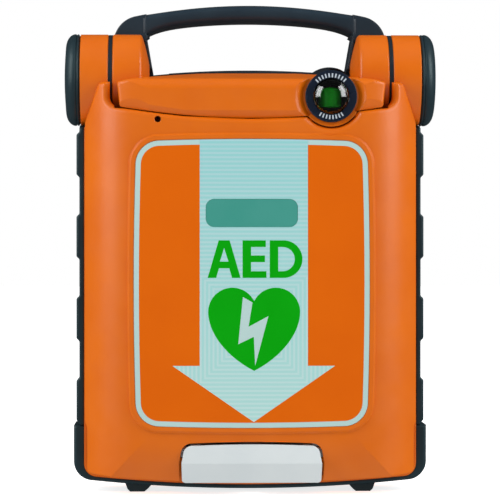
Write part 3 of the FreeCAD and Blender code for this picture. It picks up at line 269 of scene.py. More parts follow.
def dress(material, *names):
    """Gives CAD nodes one finish."""
    for name in names:
        coat(NODES[name].data, material)


dress(ORANGE, "front_housing", "rear_housing", "lid_shell")
dress(RUBBER, "bumper_left", "bumper_right", "bumper_bottom", "foot_left", "foot_right", "handle_grip",
      "hinge_cap_left", "hinge_cap_right", "usb_cover")
dress(CUP, "indicator_housing")
dress(HANDLE, "handle_frame")
dress(DARK, "hinge_washer_left", "hinge_washer_right", "pads_socket", "lid_liner", "lid_catch")
dress(LIGHT, "latch_lever")
dress(NAVY, "indicator_bezel")
dress(FASCIA, "control_fascia")
dress(BUTTON, "language_button", "keypad_membrane")
dress(SHOCK, "shock_button")
dress(BATTERY, "battery_case", "battery_cover", "speaker")
dress(CHIP, "processors", "reed_switch")
drum_low, drum_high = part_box("status_drum")
FLAG = flag_print((drum_low.y + drum_high.y) / 2)
dress(FLAG, "status_drum")
dress(SLEEVE, "hv_capacitor", "battery_cells")
dress(PLATE, "rating_plate")
dress(STEEL, "case_screws", "board_screws", "lid_screws", "latch_pin", "latch_spring", "hinge_pin_left",
      "hinge_pin_right", "speaker_mesh", "usb_port", "lid_magnet")
dress(BRASS, "hinge_bush_left", "hinge_bush_right", "battery_contacts")
dress(ALUMINIUM, "heat_sink")
dress(WIRE, "charge_transformer")
dress(circuit_board(), "main_board", "control_board")
LENS = clear("lens_clear", (240, 246, 245), 0.04, IOR=1.6)
dress(LENS, "indicator_lens")
dress(clear("display_window", (225, 232, 230), 0.02), "lcd_window")
dress(expiry_tint(), "expiry_window")
dress(printed("border_print", (176, 205, 202), (180, 208, 205)), "label_panel")
dress(moulded("display_glass", (120, 138, 116), (126, 143, 121), 0.2, 0.3), "lcd_module")


# ---------------------------------------------------------------- shaped pieces
def add_piece(name, data, material, node, slot=None, stands_for=()):
    """Adds a mesh as a piece on the body of a CAD node. Its slot argument is not used."""
    body, slot = BODY_OF[node], slot or SLOT_OF[node]
    piece = bpy.data.objects.new(name, data)
    bpy.context.scene.collection.objects.link(piece)
    coat(data, material)
    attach(piece, body)
    if stands_for:
        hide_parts(*stands_for)
    return piece


def evaluated(piece):
    """The mesh of an object with its modifiers applied."""
    bpy.context.view_layer.update()
    return bpy.data.meshes.new_from_object(piece.evaluated_get(bpy.context.evaluated_depsgraph_get()))


def smooth_mesh(name, points, faces):
    """A mesh shaded smooth, from points and faces."""
    data = bpy.data.meshes.new(name)
    data.from_pydata([tuple(p) for p in points], [], faces)
    data.polygons.foreach_set("use_smooth", [True] * len(data.polygons))
    return data


def rounded(node, width, limit=35, segments=3):
    """Stands for a CAD node with the same shape, its edges above a limit in degrees really rounded."""
    data = NODES[node].data.copy()
    work = bmesh.new()
    work.from_mesh(data)
    bmesh.ops.remove_doubles(work, verts=work.verts, dist=0.000002)
    bmesh.ops.dissolve_limit(work, angle_limit=math.radians(0.5), verts=work.verts, edges=work.edges)
    work.to_mesh(data)
    work.free()
    piece = add_piece(node + "_rounded", data, data.materials[0], node, stands_for=[node])
    bevel = piece.modifiers.new("Rounded", "BEVEL")
    bevel.width, bevel.segments, bevel.limit_method = width, segments, "ANGLE"
    bevel.angle_limit = math.radians(limit)
    bevel.harden_normals = True
    data.polygons.foreach_set("use_smooth", [True] * len(data.polygons))
    return piece


def full_turn(count):
    """Angles of a whole turn in even steps."""
    return np.linspace(0, 2 * math.pi, count + 1)[:-1]


def loft(rings, looped=False):
    """Points and faces through rings of equal counts, capped at both ends or looped back to the first."""
    count = len(rings[0])
    points = [p for ring in rings for p in ring]
    faces = []
    for i in range(len(rings) - 1):
        for j in range(count):
            k = (j + 1) % count
            faces.append((i * count + j, i * count + k, (i + 1) * count + k, (i + 1) * count + j))
    last = (len(rings) - 1) * count
    if looped:
        faces += [(last + j, last + (j + 1) % count, (j + 1) % count, j) for j in range(count)]
    else:
        faces.append(tuple(range(count - 1, -1, -1)))
        faces.append(tuple(last + j for j in range(count)))
    return points, faces


def turned(name, profile, axis, centre, steps=128, sweep=(0, 360)):
    """A mesh turned about the y or z axis through centre, from (place along it, radius) in metres."""
    whole = sweep == (0, 360)
    turn = np.radians(np.linspace(*sweep, steps + 1))
    rings = []
    for a in turn[:-1] if whole else turn:
        c, d = math.cos(a), math.sin(a)
        ring = [(r * c, t, r * d) if axis == "y" else (r * c, r * d, t) for t, r in profile]
        rings.append([tuple(Vector(p) + Vector(centre)) for p in ring])
    data = smooth_mesh(name, *loft(rings, whole))
    work = bmesh.new()
    work.from_mesh(data)
    bmesh.ops.remove_doubles(work, verts=work.verts, dist=0.000001)
    bmesh.ops.recalc_face_normals(work, faces=work.faces)
    work.to_mesh(data)
    work.free()
    data.set_sharp_from_angle(angle=math.radians(40))
    return data


def slab(columns, rows, spot):
    """Points and faces of a thin closed sheet. Spot gives a point from its side (-1 or 1), row and column."""
    points = [spot(side, i, j) for side in (-1, 1) for i in range(rows + 1) for j in range(columns + 1)]
    faces, stride, layer = [], columns + 1, (rows + 1) * (columns + 1)
    for i in range(rows):
        for j in range(columns):
            a = i * stride + j
            faces.append((a, a + 1, a + stride + 1, a + stride))
            faces.append((layer + a, layer + a + stride, layer + a + stride + 1, layer + a + 1))
    rim = list(range(columns)) + [i * stride + columns for i in range(rows)]
    rim += [rows * stride + columns - j for j in range(columns)] + [(rows - i) * stride for i in range(rows)]
    for a, b in zip(rim, rim[1:] + rim[:1]):
        faces.append((b, a, layer + a, layer + b))
    return points, faces


def surface(data):
    """A tree of a mesh's faces, for finding its skin."""
    return BVHTree.FromPolygons([v.co for v in data.vertices], [tuple(f.vertices) for f in data.polygons])


def skin_y(tree, x, z, otherwise):
    """The front of a skin at (x, z), or the other value where the skin has a hole."""
    hit = tree.ray_cast(Vector((x, -0.1, z)), Vector((0, 1, 0)))[0]
    return otherwise if hit is None else hit.y


def hinge_cap(side, sign):
    """A rubber end cap: a lip, a fine groove and a full round outer edge, turned about the hinge axis.

    The profile is (place along the axis, radius) in millimetres.
    """
    name = "hinge_cap_" + side
    low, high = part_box(name)
    outer = max(abs(low.x), abs(high.x)) / MM
    axis = (low + high) / 2 / MM
    bore, flat, roll, shoulder = 4, 20.5, 7.8, 107.3
    profile = [(104.5, bore), (104.5, 27.1), (105.1, 27.3), (105.2, 27.9), (105.5, 28.2), (106.1, 28.2),
               (106.4, 28.0), (106.5, 27.5), (106.7, 27.5), (106.9, 28.1)]
    profile += [
        (shoulder + (outer - 1 - shoulder) * math.sin(t), flat + roll * math.cos(t))
        for t in np.linspace(0.05, math.pi / 2, 14)
    ]
    profile += [(outer - (r / flat) ** 2, r) for r in (16, 11, 6, 1)]
    rings = [
        [(sign * x * MM, (axis.y + r * math.sin(a)) * MM, (axis.z + r * math.cos(a)) * MM)
         for a in full_turn(128)[::sign]]
        for x, r in profile
    ]
    data = smooth_mesh(name, *loft(rings))
    piece = add_piece(name + "_turned", data, RUBBER, name, stands_for=[name])
    data.set_sharp_from_angle(angle=math.radians(50))
    return piece


def grip_sleeve():
    """The soft sleeve on the handle: a flattened round section that follows the arch."""
    low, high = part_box("handle_grip")
    top, under, arch_radius = 0.3008, 0.2897, 0.3367
    mid_y, half_y, half_x, tuck = 0.0202, 0.0141, 0.0616, 0.002
    rings = []
    for x in np.linspace(low.x - tuck, high.x + tuck, 61):
        above = top - (arch_radius - math.sqrt(arch_radius**2 - x * x))
        below = under - (1.3 * x * x + (x / half_x) ** 8 * 0.0022)
        squareness = 0.66 - 0.26 * (x / half_x) ** 6
        ring = []
        for a in full_turn(64):
            c, d = math.cos(a), math.sin(a)
            across = math.copysign(abs(c) ** squareness, c)
            up = math.copysign(abs(d) ** squareness, d)
            ring.append((x, mid_y + half_y * across, (above + below) / 2 + (above - below) / 2 * up))
        rings.append(ring)
    data = smooth_mesh("handle_sleeve", *loft(rings))
    add_piece("handle_sleeve", data, HANDLE, "handle_grip", stands_for=["handle_grip"])


hinge_cap("right", 1)
hinge_cap("left", -1)
grip_sleeve()
for strip in ("bumper_left", "bumper_right"):
    rounded(strip, 0.0009, 12)
rounded("bumper_bottom", 0.0009, 30)
rounded("latch_lever", 0.0009, 6)


# ---------------------------------------------------------------- flat pieces
def circle_arc(x, z, radius, start, end, steps=16):
    """Points of an arc in degrees, anticlockwise seen from the front."""
    angles = np.radians(np.linspace(start, end, steps))
    return [(x + radius * math.cos(a), z + radius * math.sin(a)) for a in angles]


def bezier(a, b, c, d, steps=20):
    """Points of a cubic curve."""
    t = np.linspace(0, 1, steps)[:, None]
    a, b, c, d = (np.array(p, float) for p in (a, b, c, d))
    points = (1 - t) ** 3 * a + 3 * t * (1 - t) ** 2 * b + 3 * t**2 * (1 - t) * c + t**3 * d
    return [tuple(p) for p in points]


def flat_piece(name, outlines, face_y, thick, material, node):
    """A thin printed shape facing -Y. Its outlines are (x, z) in metres, and one inside another is a hole."""
    curve = bpy.data.curves.new(name, "CURVE")
    curve.dimensions, curve.fill_mode, curve.extrude = "2D", "BOTH", thick / 2
    for outline in outlines:
        spline = curve.splines.new("POLY")
        spline.points.add(len(outline) - 1)
        for point, (x, z) in zip(spline.points, outline):
            point.co = (x, z, 0, 1)
        spline.use_cyclic_u = True
    drawn = bpy.data.objects.new(name, curve)
    bpy.context.scene.collection.objects.link(drawn)
    data = evaluated(drawn)
    bpy.data.objects.remove(drawn)
    data.transform(Matrix.Translation((0, face_y + thick / 2, 0)) @ FRONT_TURN)
    return add_piece(name, data, material, node, "label_print")


def convex_outline(points):
    """The convex hull of (x, z) points, anticlockwise."""
    points = sorted(set(map(tuple, np.round(points, 7))))

    def half(some):
        chain = []
        for p in some:
            while len(chain) > 1:
                (ax, az), (bx, bz) = chain[-2:]
                if (bx - ax) * (p[1] - az) - (bz - az) * (p[0] - ax) > 0:
                    break
                chain.pop()
            chain.append(p)
        return chain[:-1]

    return half(points) + half(points[::-1])


def inset(outline, amount):
    """A convex anticlockwise outline moved inwards."""
    points = np.array(outline)
    edges = np.roll(points, -1, 0) - points
    normals = np.stack([-edges[:, 1], edges[:, 0]], 1) / np.linalg.norm(edges, axis=1)[:, None]
    inward = normals + np.roll(normals, 1, 0)
    inward /= np.sum(inward * normals, 1)[:, None]
    return [tuple(p) for p in points + inward * amount]


def keep_side(outline, through, along):
    """The part of a convex outline to the left of a line."""
    (px, pz), (dx, dz) = through, along
    side = [dx * (z - pz) - dz * (x - px) for x, z in outline]
    kept = []
    for i, (x, z) in enumerate(outline):
        j = (i + 1) % len(outline)
        if side[i] >= 0:
            kept.append((x, z))
        if (side[i] >= 0) != (side[j] >= 0):
            t = side[i] / (side[i] - side[j])
            kept.append((x + (outline[j][0] - x) * t, z + (outline[j][1] - z) * t))
    return kept


# ---------------------------------------------------------------- label
LAYER = 0.00003
label_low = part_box("label_panel")[0]
label_face = label_low.y
label_mid = 0.0012
border = 0.0031
shaft_half = 0.0326
head_half = 0.049
head_z = 0.0787
panel_ends = [(v.co.x, v.co.z) for v in NODES["label_panel"].data.vertices if v.co.y < label_face + 0.0001]
label_edge = convex_outline(panel_ends)
tip = (label_mid, label_low.z + border + 0.0004)
heart_mid, heart_low = label_mid + 0.0002, 0.0757
ARROW = arrow_print((label_mid, heart_low + 0.025))
BOLT = printed("bolt_print", (178, 206, 203), (184, 210, 207))
SIDES = printed("side_print", (217, 96, 0), (221, 100, 0), 0.4)
GREEN = printed("green_print", (0, 158, 4), (2, 164, 8))


def label_print(name, outlines, layer, material):
    """Ink on the label, in a numbered layer above its face."""
    return flat_piece(name, outlines, label_face - layer * LAYER, LAYER, material, "label_panel")


def label_side(sign):
    """One orange panel beside the arrow, in two convex parts that meet at the arrow's shoulder."""
    inner = inset(label_edge, border)
    edge_x = label_mid + sign * shaft_half
    shoulder = (label_mid + sign * head_half, head_z)
    upper = keep_side(keep_side(inner, (edge_x, 0), (0, -sign)), (0, head_z), (1, 0))
    slope = (tip[0] - shoulder[0], tip[1] - shoulder[1])
    outward = (slope[0] * sign, slope[1] * sign)
    lower = keep_side(keep_side(inner, (0, head_z), (-1, 0)), shoulder, outward)
    return [upper, lower]


panels = label_side(-1) + label_side(1)
for index, outline in enumerate(panels):
    side_name = f"label_side_{'left' if index < 2 else 'right'}_{'lower' if index % 2 else 'upper'}"
    label_print(side_name, [outline], 1, SIDES)

lens_low, lens_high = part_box("expiry_window")
corner, hole_radius = 0.005, 0.0051
window_hole = []
for x, z, start in (
    (lens_high.x - corner, lens_high.z - corner, 0), (lens_low.x + corner, lens_high.z - corner, 90),
    (lens_low.x + corner, lens_low.z + corner, 180), (lens_high.x - corner, lens_low.z + corner, 270),
):
    window_hole += circle_arc(x, z, hole_radius, start, start + 90, 8)
shaft = keep_side(label_edge, (label_mid - shaft_half, 0), (0, -1))
shaft = keep_side(shaft, (label_mid + shaft_half, 0), (0, 1))
shaft = keep_side(shaft, (0, head_z), (1, 0))
label_print("label_arrow_shaft", [shaft, window_hole], 1, ARROW)
head = [(label_mid - head_half, head_z), tip, (label_mid + head_half, head_z)]
label_print("label_arrow_head", [head], 1, ARROW)


def heart_outline(mid, low, lobe=0.0146):
    """A heart, drawn from its point up one side, over both lobes and down the other side."""
    lobe_x, lobe_z = 0.0131, low + 0.0355
    wide = lobe_x + lobe
    belly_x, belly_z, waist = 0.0155, low + 0.0078, lobe_z - 0.0135
    return [
        *bezier((mid, low), (mid + belly_x, belly_z), (mid + wide, waist), (mid + wide, lobe_z)),
        *circle_arc(mid + lobe_x, lobe_z, lobe, 4, 153, 24),
        *circle_arc(mid - lobe_x, lobe_z, lobe, 27, 176, 24),
        *bezier((mid - wide, lobe_z), (mid - wide, waist), (mid - belly_x, belly_z), (mid, low))[:-1],
    ]


label_print("label_heart", [heart_outline(heart_mid, heart_low)], 2, GREEN)

bolt_shape = [
    (-0.0068, 0.0445), (-0.0010, 0.0412), (-0.0034, 0.0265), (0.0086, 0.0330), (0.0006, 0.0030),
    (-0.0002, 0.0205), (-0.0096, 0.0160),
]
bolt = [(heart_mid + x, heart_low + z) for x, z in bolt_shape]
label_print("label_bolt", [bolt], 3, BOLT)

letter_low, letter_high = 0.1317, 0.1543
stroke, bar = 0.0051, 0.0040


def letter_a(left, width):
    """Outlines of a block letter A: two legs, a crossbar and a pointed counter."""
    mid, slope, lean, crossbar = left + width / 2, 0.0033, 0.0017, letter_low + 0.0058
    outer = [
        (left, letter_low), (left + stroke, letter_low), (left + stroke + lean, crossbar),
        (left + width - stroke - lean, crossbar), (left + width - stroke, letter_low),
        (left + width, letter_low), (mid + slope, letter_high), (mid - slope, letter_high),
    ]
    counter = [(mid - 0.0026, crossbar + bar), (mid + 0.0026, crossbar + bar), (mid, letter_high - 0.0045)]
    return [outer, counter]


def letter_e(left, width):
    """The outline of a block letter E, its middle arm shortest."""
    middle = (letter_low + letter_high) / 2 + 0.0002
    right = left + width
    middle_end, top_end = right - 0.0009, right - 0.0004
    return [[
        (left, letter_low), (right, letter_low), (right, letter_low + bar), (left + stroke, letter_low + bar),
        (left + stroke, middle - bar / 2), (middle_end, middle - bar / 2), (middle_end, middle + bar / 2),
        (left + stroke, middle + bar / 2), (left + stroke, letter_high - bar), (top_end, letter_high - bar),
        (top_end, letter_high), (left, letter_high),
    ]]


def letter_d(left, width):
    """Outlines of a block letter D with a half-round bowl."""
    high, middle = (letter_high - letter_low) / 2, (letter_low + letter_high) / 2
    bowl = left + width - high
    outer = [(left, letter_low), *circle_arc(bowl, middle, high, -90, 90, 28), (left, letter_high)]
    small = high - bar
    inner = [
        (left + stroke, middle - small), *circle_arc(bowl - 0.0006, middle, small, -90, 90, 24),
        (left + stroke, middle + small),
    ]
    return [outer, inner]


for name, shape in (
    ("label_letter_a", letter_a(-0.0266, 0.0198)),
    ("label_letter_e", letter_e(-0.0056, 0.0144)),
    ("label_letter_d", letter_d(0.0108, 0.0197)),
):
    label_print(name, shape, 2, GREEN)


# ---------------------------------------------------------------- indicator
dial_low, dial_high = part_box("indicator_bezel")
DIAL_X, DIAL_Z = (dial_low.x + dial_high.x) / 2, (dial_low.z + dial_high.z) / 2
DIAL_RAD = (dial_high.x - dial_low.x) / 2
DIAL_SKIN = surface(NODES["indicator_bezel"].data)


def dial_marks(name, angles, near, far, half_width):
    """Radial ticks printed on the bezel."""
    points, faces = [], []
    above, below = 0.00012, -0.0001
    for angle in np.radians(angles):
        along = np.array((math.cos(angle), math.sin(angle)))
        beside = np.array((-along[1], along[0]))
        outline = [near * along - half_width * beside, near * along + half_width * beside,
                   far * along + half_width * beside, far * along - half_width * beside]
        start = len(points)
        for lift in (above, below):
            for x, z in outline:
                y = skin_y(DIAL_SKIN, DIAL_X + x, DIAL_Z + z, dial_low.y) - lift
                points.append((DIAL_X + x, y, DIAL_Z + z))
        a, b, c, d = range(start, start + 4)
        faces += [(a, d, c, b), (a + 4, b + 4, c + 4, d + 4)]
        for i, j in ((a, b), (b, c), (c, d), (d, a)):
            faces.append((i, j, j + 4, i + 4))
    data = bpy.data.meshes.new(name)
    data.from_pydata(points, [], faces)
    return add_piece(name, data, DIAL_PRINT, "indicator_bezel", "label_print")


def dial_rim(name, radius, thick, material, inwards=0.985, sunk=0.3):
    """A polished bead round the bezel, level with its skin a little inwards of the bead."""
    rings = []
    for a in full_turn(128):
        x, z = radius * math.cos(a), radius * math.sin(a)
        y = skin_y(DIAL_SKIN, DIAL_X + x * inwards, DIAL_Z + z * inwards, dial_low.y) + thick * sunk
        ring = []
        for b in full_turn(12):
            out = radius + thick * math.cos(b)
            ring.append((DIAL_X + out * math.cos(a), y + thick * math.sin(b), DIAL_Z + out * math.sin(a)))
        rings.append(ring)
    return add_piece(name, smooth_mesh(name, *loft(rings, looped=True)), material, "indicator_bezel")


DIAL_PRINT = printed("dial_print", (188, 199, 208), (193, 203, 212), 0.35)
# The rim bead's navy is lighter than the bezel's own navy. Its gloss is real polish from the low roughness, and
# its lighter tint is a painted highlight along the rim.
POLISHED_NAVY_PAINTED_HIGHLIGHT = moulded("polished_navy_painted_highlight", (38, 50, 66), (42, 54, 70), 0.1, 0.16, 0.0006, 0.000001)
dial_marks("dial_ticks_upper", np.linspace(50, 133, 10), 0.0114, 0.0139, 0.00042)
dial_marks("dial_ticks_lower", np.linspace(-121, -59, 8), 0.0114, 0.0139, 0.00042)
dial_rim("dial_rim_outer", DIAL_RAD - 0.0002, 0.00022, POLISHED_NAVY_PAINTED_HIGHLIGHT)


def dome_lens():
    """The indicator's clear dome: a thin blown shell with a straight skirt."""
    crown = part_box("indicator_lens")[0].y
    outside, radius, wall = 0.0139, 0.0107, 0.0013
    centre = crown + outside
    outer = [(centre - outside * math.cos(a), outside * math.sin(a))
             for a in np.linspace(0, math.asin(radius / outside), 28)]
    small = outside - wall
    inner = [(centre - small * math.cos(a), small * math.sin(a))
             for a in np.linspace(math.asin((radius - wall) / small), 0, 24)]
    skirt = dial_low.y + 0.0035
    profile = outer + [(outer[-1][0] + 0.0002, radius), (skirt, radius), (skirt, radius - wall)] + inner
    data = turned("indicator_dome", profile, "y", (DIAL_X, 0, DIAL_Z))
    add_piece("indicator_dome", data, LENS, "indicator_lens", stands_for=["indicator_lens"])


def flag_drum():
    """The flag: an upright barrel with a full round head."""
    centre = ((drum_low.x + drum_high.x) / 2, (drum_low.y + drum_high.y) / 2, 0)
    bottom, top = drum_low.z, drum_high.z
    radius, head, hole, edge = 0.0072, 0.0030, 0.0013, 0.0006
    profile = [(bottom, hole), (bottom, radius - edge), (bottom + edge, radius), (top - head, radius)]
    profile += [(top - head + head * math.sin(a), radius * math.cos(a))
                for a in np.linspace(0.1, math.acos(hole / radius), 14)]
    data = turned("flag_drum", profile, "z", centre)
    add_piece("flag_drum", data, FLAG, "status_drum", stands_for=["status_drum"])


def dish_skirt():
    """The foot of the dish, below the bezel, that the lid's scallop closes around."""
    near, far = DIAL_RAD + 0.0001, DIAL_RAD + 0.0028
    front, deep = dial_low.y - 0.0004, dial_low.y + 0.0016
    curve = [(deep + (front - deep) * (1 - math.cos(a)), near + (far - near) * math.sin(a))
             for a in np.linspace(0, math.pi / 2, 10)]
    profile = curve + [(deep + 0.003, far), (deep + 0.003, near)]
    data = turned("dish_skirt", profile, "y", (DIAL_X, 0, DIAL_Z), steps=72, sweep=(-139, -31))
    add_piece("dish_skirt", data, ORANGE, "front_housing")


dome_lens()
flag_drum()
dish_skirt()


# ---------------------------------------------------------------- pads pouch
def foil():
    """Silvery laminated film, creased and lightly brushed."""
    finish = Finish("foil_film", Metallic=0.55, Coat_Weight=0.2)
    finish.clouds(linear(196, 201, 206), linear(214, 219, 223), 0.05)
    finish.gloss(0.2, 0.42, 0.02)
    finish.relief(0.011, 0.0005, detail=5)
    return finish.material


def pillow(low, high, voxel=0.005, cap=0.006):
    """A closed bag of film, blown up by cloth pressure between two corners."""
    middle, span = (low + high) / 2, high - low
    work = bmesh.new()
    bmesh.ops.create_cube(work, size=1)
    for vert in work.verts:
        vert.co = Vector(c * s for c, s in zip(vert.co, span)) + middle
    data = bpy.data.meshes.new("pillow")
    work.to_mesh(data)
    work.free()
    bag = bpy.data.objects.new("pillow", data)
    bpy.context.scene.collection.objects.link(bag)
    remesh = bag.modifiers.new("Remesh", "REMESH")
    remesh.mode, remesh.voxel_size = "VOXEL", voxel
    even = evaluated(bag)
    bag.modifiers.clear()
    bag.data = even
    start = [v.co.copy() for v in even.vertices]
    cloth = bag.modifiers.new("Cloth", "CLOTH")
    cloth.settings.use_pressure = True
    cloth.settings.uniform_pressure_force = 4
    cloth.settings.effector_weights.gravity = 0
    for frame_number in range(1, 21):
        bpy.context.scene.frame_set(frame_number)
    blown = evaluated(bag)
    bag.modifiers.clear()
    bpy.context.scene.frame_set(1)
    for vert, home in zip(blown.vertices, start):
        move = vert.co - home
        if move.length > cap:
            vert.co = home + move * cap / move.length
    bag.data = blown
    smooth = bag.modifiers.new("Smooth", "SUBSURF")
    smooth.levels = smooth.render_levels = 1
    data = evaluated(bag)
    bpy.data.objects.remove(bag)
    data.polygons.foreach_set("use_smooth", [True] * len(data.polygons))
    return data


def ripple(x, z):
    """Soft creases of a hand-packed film, in metres."""
    return 0.0004 * math.sin(x * 210 + 1.3 * math.sin(z * 90)) + 0.0003 * math.sin(z * 170 + x * 60)


def wrap(name, skin, across, up, material, lift=0.00015, step=0.002):
    """A printed rectangle that lies on the pouch's curved front."""
    columns = max(2, int((across[1] - across[0]) / step))
    rows = max(1, int((up[1] - up[0]) / step))

    def printed_on(side, i, j):
        x = across[0] + (across[1] - across[0]) * j / columns
        z = up[0] + (up[1] - up[0]) * i / rows
        return x, skin_y(skin, x, z, 0) + side * lift, z

    data = smooth_mesh(name, *slab(columns, rows, printed_on))
    return add_piece(name, data, material, "pads_pouch", "label_print")


def pads_pouch():
    """The sealed electrode pouch: a full middle inside a crimped border."""
    low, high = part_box("pads_pouch")
    seal, front_gap, rear_gap, slack = 0.011, 0.0035, 0.0030, 0.0002
    mid = (low.y + high.y) / 2 + 0.0015
    data = pillow(low + Vector((seal, front_gap, seal)), high - Vector((seal, rear_gap, seal)))
    for vert in data.vertices:
        if vert.co.y < mid:
            vert.co.y += ripple(vert.co.x, vert.co.z)
        for i in range(3):
            vert.co[i] = min(max(vert.co[i], low[i] + slack), high[i] - slack)
    film = foil()
    pouch = add_piece("pouch_body", data, film, "pads_pouch", stands_for=["pads_pouch"])
    columns, rows, half_film = 96, 120, 0.0003
    crimp_depth, crimp_pitch, crimp_width = 0.00035, 0.0026, 0.0092

    def sealed(side, i, j):
        x = low.x + (high.x - low.x) * j / columns
        z = low.z + (high.z - low.z) * i / rows
        edge = min(x - low.x, high.x - x, z - low.z, high.z - z)
        crimp = crimp_depth * math.sin(edge * 2 * math.pi / crimp_pitch) if edge < crimp_width else 0
        return x, mid + side * half_film + crimp + 2 * ripple(z, x), z

    add_piece("pouch_seal", smooth_mesh("pouch_seal", *slab(columns, rows, sealed)), film, "pads_pouch")
    skin, middle = surface(data), (low.x + high.x) / 2
    half_band, half_pad, line_high = 0.040, 0.014, 0.0018
    band_across = (middle - half_band, middle + half_band)
    wrap("pouch_band", skin, band_across, (high.z - 0.042, high.z - 0.026), POUCH_INK)
    for i, (z, reach) in enumerate(((0.078, 0.030), (0.071, 0.036), (0.064, 0.012))):
        wrap(f"pouch_rule_{i}", skin, (middle - half_band, middle + reach), (z, z + line_high), POUCH_INK)
    for name, centre in (("pouch_pad_left", middle - 0.021), ("pouch_pad_right", middle + 0.021)):
        wrap(name, skin, (centre - half_pad, centre + half_pad), (0.094, 0.128), PAD_INK)


POUCH_INK = printed("pouch_ink", (34, 92, 116), (38, 97, 121), 0.35)
PAD_INK = printed("pad_ink", (238, 240, 240), (243, 245, 245), 0.4)
pads_pouch()


# ---------------------------------------------------------------- deck and rear prints
def bars(name, boxes, material, node):
    """Thin printed bars, each (x, y, z) ranges in metres."""
    points, faces = [], []
    for x, y, z in boxes:
        start = len(points)
        points += [(a, b, c) for a in x for b in y for c in z]
        for face in ((0, 1, 3, 2), (4, 6, 7, 5), (0, 4, 5, 1), (2, 3, 7, 6), (0, 2, 6, 4), (1, 5, 7, 3)):
            faces.append(tuple(start + i for i in face))
    data = bpy.data.meshes.new(name)
    data.from_pydata(points, [], faces)
    return add_piece(name, data, material, node, "label_print")


DARK_INK = printed("dark_ink", (44, 48, 52), (49, 53, 57), 0.35)
PALE_INK = printed("pale_ink", (232, 234, 234), (238, 240, 240), 0.35)
SEGMENTS = printed("segment_ink", (26, 34, 28), (30, 38, 32), 0.3)

plate_low, plate_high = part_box("rating_plate")
plate_lines, line_pitch, line_high, half_ink = [], 0.0058, 0.0009, 0.00005
for i, indent in enumerate((0.005, 0.028, 0.012, 0.012, 0.034, 0.012, 0.022)):
    z = plate_high.z - 0.0075 - i * line_pitch
    ends = (plate_low.x + indent, plate_high.x - 0.005)
    plate_lines.append((ends, (plate_high.y - half_ink, plate_high.y + half_ink), (z, z + line_high)))
bars("plate_rules", plate_lines, DARK_INK, "rating_plate")

glass_low, glass_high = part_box("lcd_module")
dashes, dash_wide, dash_high, dash_pitch, row_pitch = [], 0.0052, 0.0011, 0.0078, 0.0062
dash_depth = (glass_low.y - 0.00006, glass_low.y + 0.00002)
for row, count in enumerate((9, 6)):
    z = glass_high.z - 0.0052 - row * row_pitch
    for i in range(count):
        x = glass_low.x + 0.009 + i * dash_pitch
        dashes.append(((x, x + dash_wide), dash_depth, (z, z + dash_high)))
bars("lcd_dashes", dashes, SEGMENTS, "lcd_module")

press_low, press_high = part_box("shock_button")
press_x, press_z = (press_low.x + press_high.x) / 2, (press_low.z + press_high.z) / 2
spark_shape = [
    (0.0016, 0.0078), (-0.0044, -0.0008), (-0.0006, -0.0008), (-0.0018, -0.0078), (0.0044, 0.0014),
    (0.0006, 0.0014),
]
spark = [(press_x + x, press_z + z) for x, z in spark_shape]
flat_piece("shock_spark", [spark], press_low.y - 0.0001, 0.00012, PALE_INK, "shock_button")

key_low, key_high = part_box("language_button")
key_z, key_margin = (key_low.z + key_high.z) / 2, 0.0045
key_across = (key_low.x + key_margin, key_high.x - key_margin)
key_depth = (key_low.y - 0.0001, key_low.y + 0.0001)
key_dashes = [(key_across, key_depth, (key_z + h, key_z + h + 0.0007)) for h in (-0.0016, 0.0009)]
bars("language_dashes", key_dashes, DARK_INK, "language_button")


# ---------------------------------------------------------------- studio
def floor():
    """A plain pale floor."""
    bpy.ops.mesh.primitive_circle_add(vertices=128, radius=9, fill_type="NGON")
    made = bpy.context.object
    made.name = "floor"
    finish = Finish("floor_paper", Emission_Color=(1, 1, 1, 1), Emission_Strength=0.76)
    finish.clouds((0.93, 0.93, 0.93, 1), (0.95, 0.95, 0.95, 1), 0.4)
    finish.gloss(0.7, 0.8)
    made.data.materials.append(finish.material)
    made.visible_diffuse = made.visible_glossy = made.visible_transmission = made.visible_shadow = False


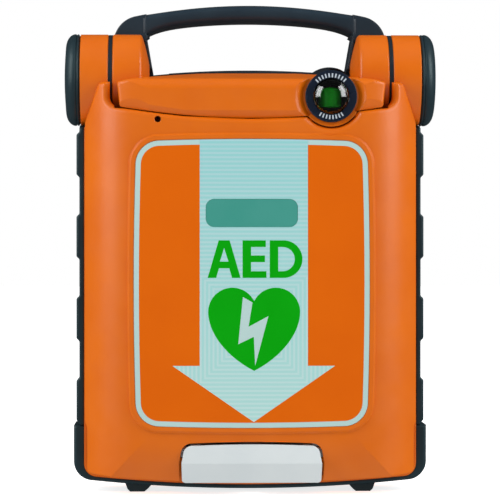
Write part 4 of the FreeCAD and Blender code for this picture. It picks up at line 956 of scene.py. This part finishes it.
def surroundings():
    """White to the camera, near black in reflections, and to all else a dim fill, brighter from below."""
    world = bpy.data.worlds.new("studio")
    bpy.context.scene.world = world
    world.use_nodes = True
    nodes, links = world.node_tree.nodes, world.node_tree.links
    nodes.clear()

    def background(strength=1.0):
        made = nodes.new("ShaderNodeBackground")
        made.inputs["Color"].default_value = (1, 1, 1, 1)
        made.inputs["Strength"].default_value = strength
        return made

    split, slope = nodes.new("ShaderNodeSeparateXYZ"), nodes.new("ShaderNodeMapRange")
    links.new(nodes.new("ShaderNodeTexCoord").outputs["Generated"], split.inputs["Vector"])
    links.new(split.outputs["Z"], slope.inputs["Value"])
    for socket, value in (("From Min", -1), ("From Max", 0.3), ("To Min", 1.3), ("To Max", 0.34)):
        slope.inputs[socket].default_value = value
    fill = background()
    links.new(slope.outputs["Result"], fill.inputs["Strength"])
    path, mirror_ray = nodes.new("ShaderNodeLightPath"), nodes.new("ShaderNodeMath")
    mirror_ray.operation = "MAXIMUM"
    links.new(path.outputs["Is Glossy Ray"], mirror_ray.inputs[0])
    links.new(path.outputs["Is Transmission Ray"], mirror_ray.inputs[1])
    shade = fill.outputs["Background"]
    for ray, strength in ((mirror_ray.outputs["Value"], 0.035), (path.outputs["Is Camera Ray"], 1.0)):
        mix = nodes.new("ShaderNodeMixShader")
        links.new(ray, mix.inputs["Fac"])
        links.new(shade, mix.inputs[1])
        links.new(background(strength).outputs["Background"], mix.inputs[2])
        shade = mix.outputs["Shader"]
    links.new(shade, nodes.new("ShaderNodeOutputWorld").inputs["Surface"])


def placed(name, data, place):
    """A lamp or camera, put in the scene at a place."""
    made = bpy.data.objects.new(name, data)
    bpy.context.scene.collection.objects.link(made)
    made.location = place
    return made


def aim(made, target):
    """Turns a lamp or camera to face a target."""
    made.rotation_mode = "QUATERNION"
    made.rotation_quaternion = (Vector(target) - made.location).to_track_quat("-Z", "Y")


def overhead():
    """A wide soft light from above that keeps the floor pale."""
    light = bpy.data.lights.new("overhead", "SUN")
    light.energy, light.angle = 0.9, math.radians(80)
    lamp = placed("overhead", light, (0, 0, 3))
    lamp.visible_glossy = lamp.visible_transmission = False


def softbox(side, sign, width=0.8, height=1.4, power=18):
    """A tall rectangular lamp on one side, a little in front of the object."""
    light = bpy.data.lights.new("softbox_" + side, "AREA")
    light.shape, light.size, light.size_y, light.energy = "RECTANGLE", width, height, power
    aim(placed("softbox_" + side, light, (sign * 1.39, -0.56, 0.9)), (0, 0, 0.25))


def camera():
    """The photographer's place: level with the middle of the case and a little to its left."""
    view_height, distance, view_width, aside = 0.1485, 1.6, 0.30875, 0.045
    data = bpy.data.cameras.new("camera")
    data.sensor_width = 36
    data.lens = data.sensor_width * distance / view_width
    data.clip_start, data.clip_end = 0.05, 60
    bpy.context.scene.camera = placed("camera", data, (-aside, -distance, view_height))
    aim(bpy.context.scene.camera, (0, 0, view_height))


floor()
surroundings()
overhead()
softbox("left", -1)
softbox("right", 1)
camera()
bpy.context.scene.view_settings.view_transform = "Standard"

bpy.context.view_layer.update()
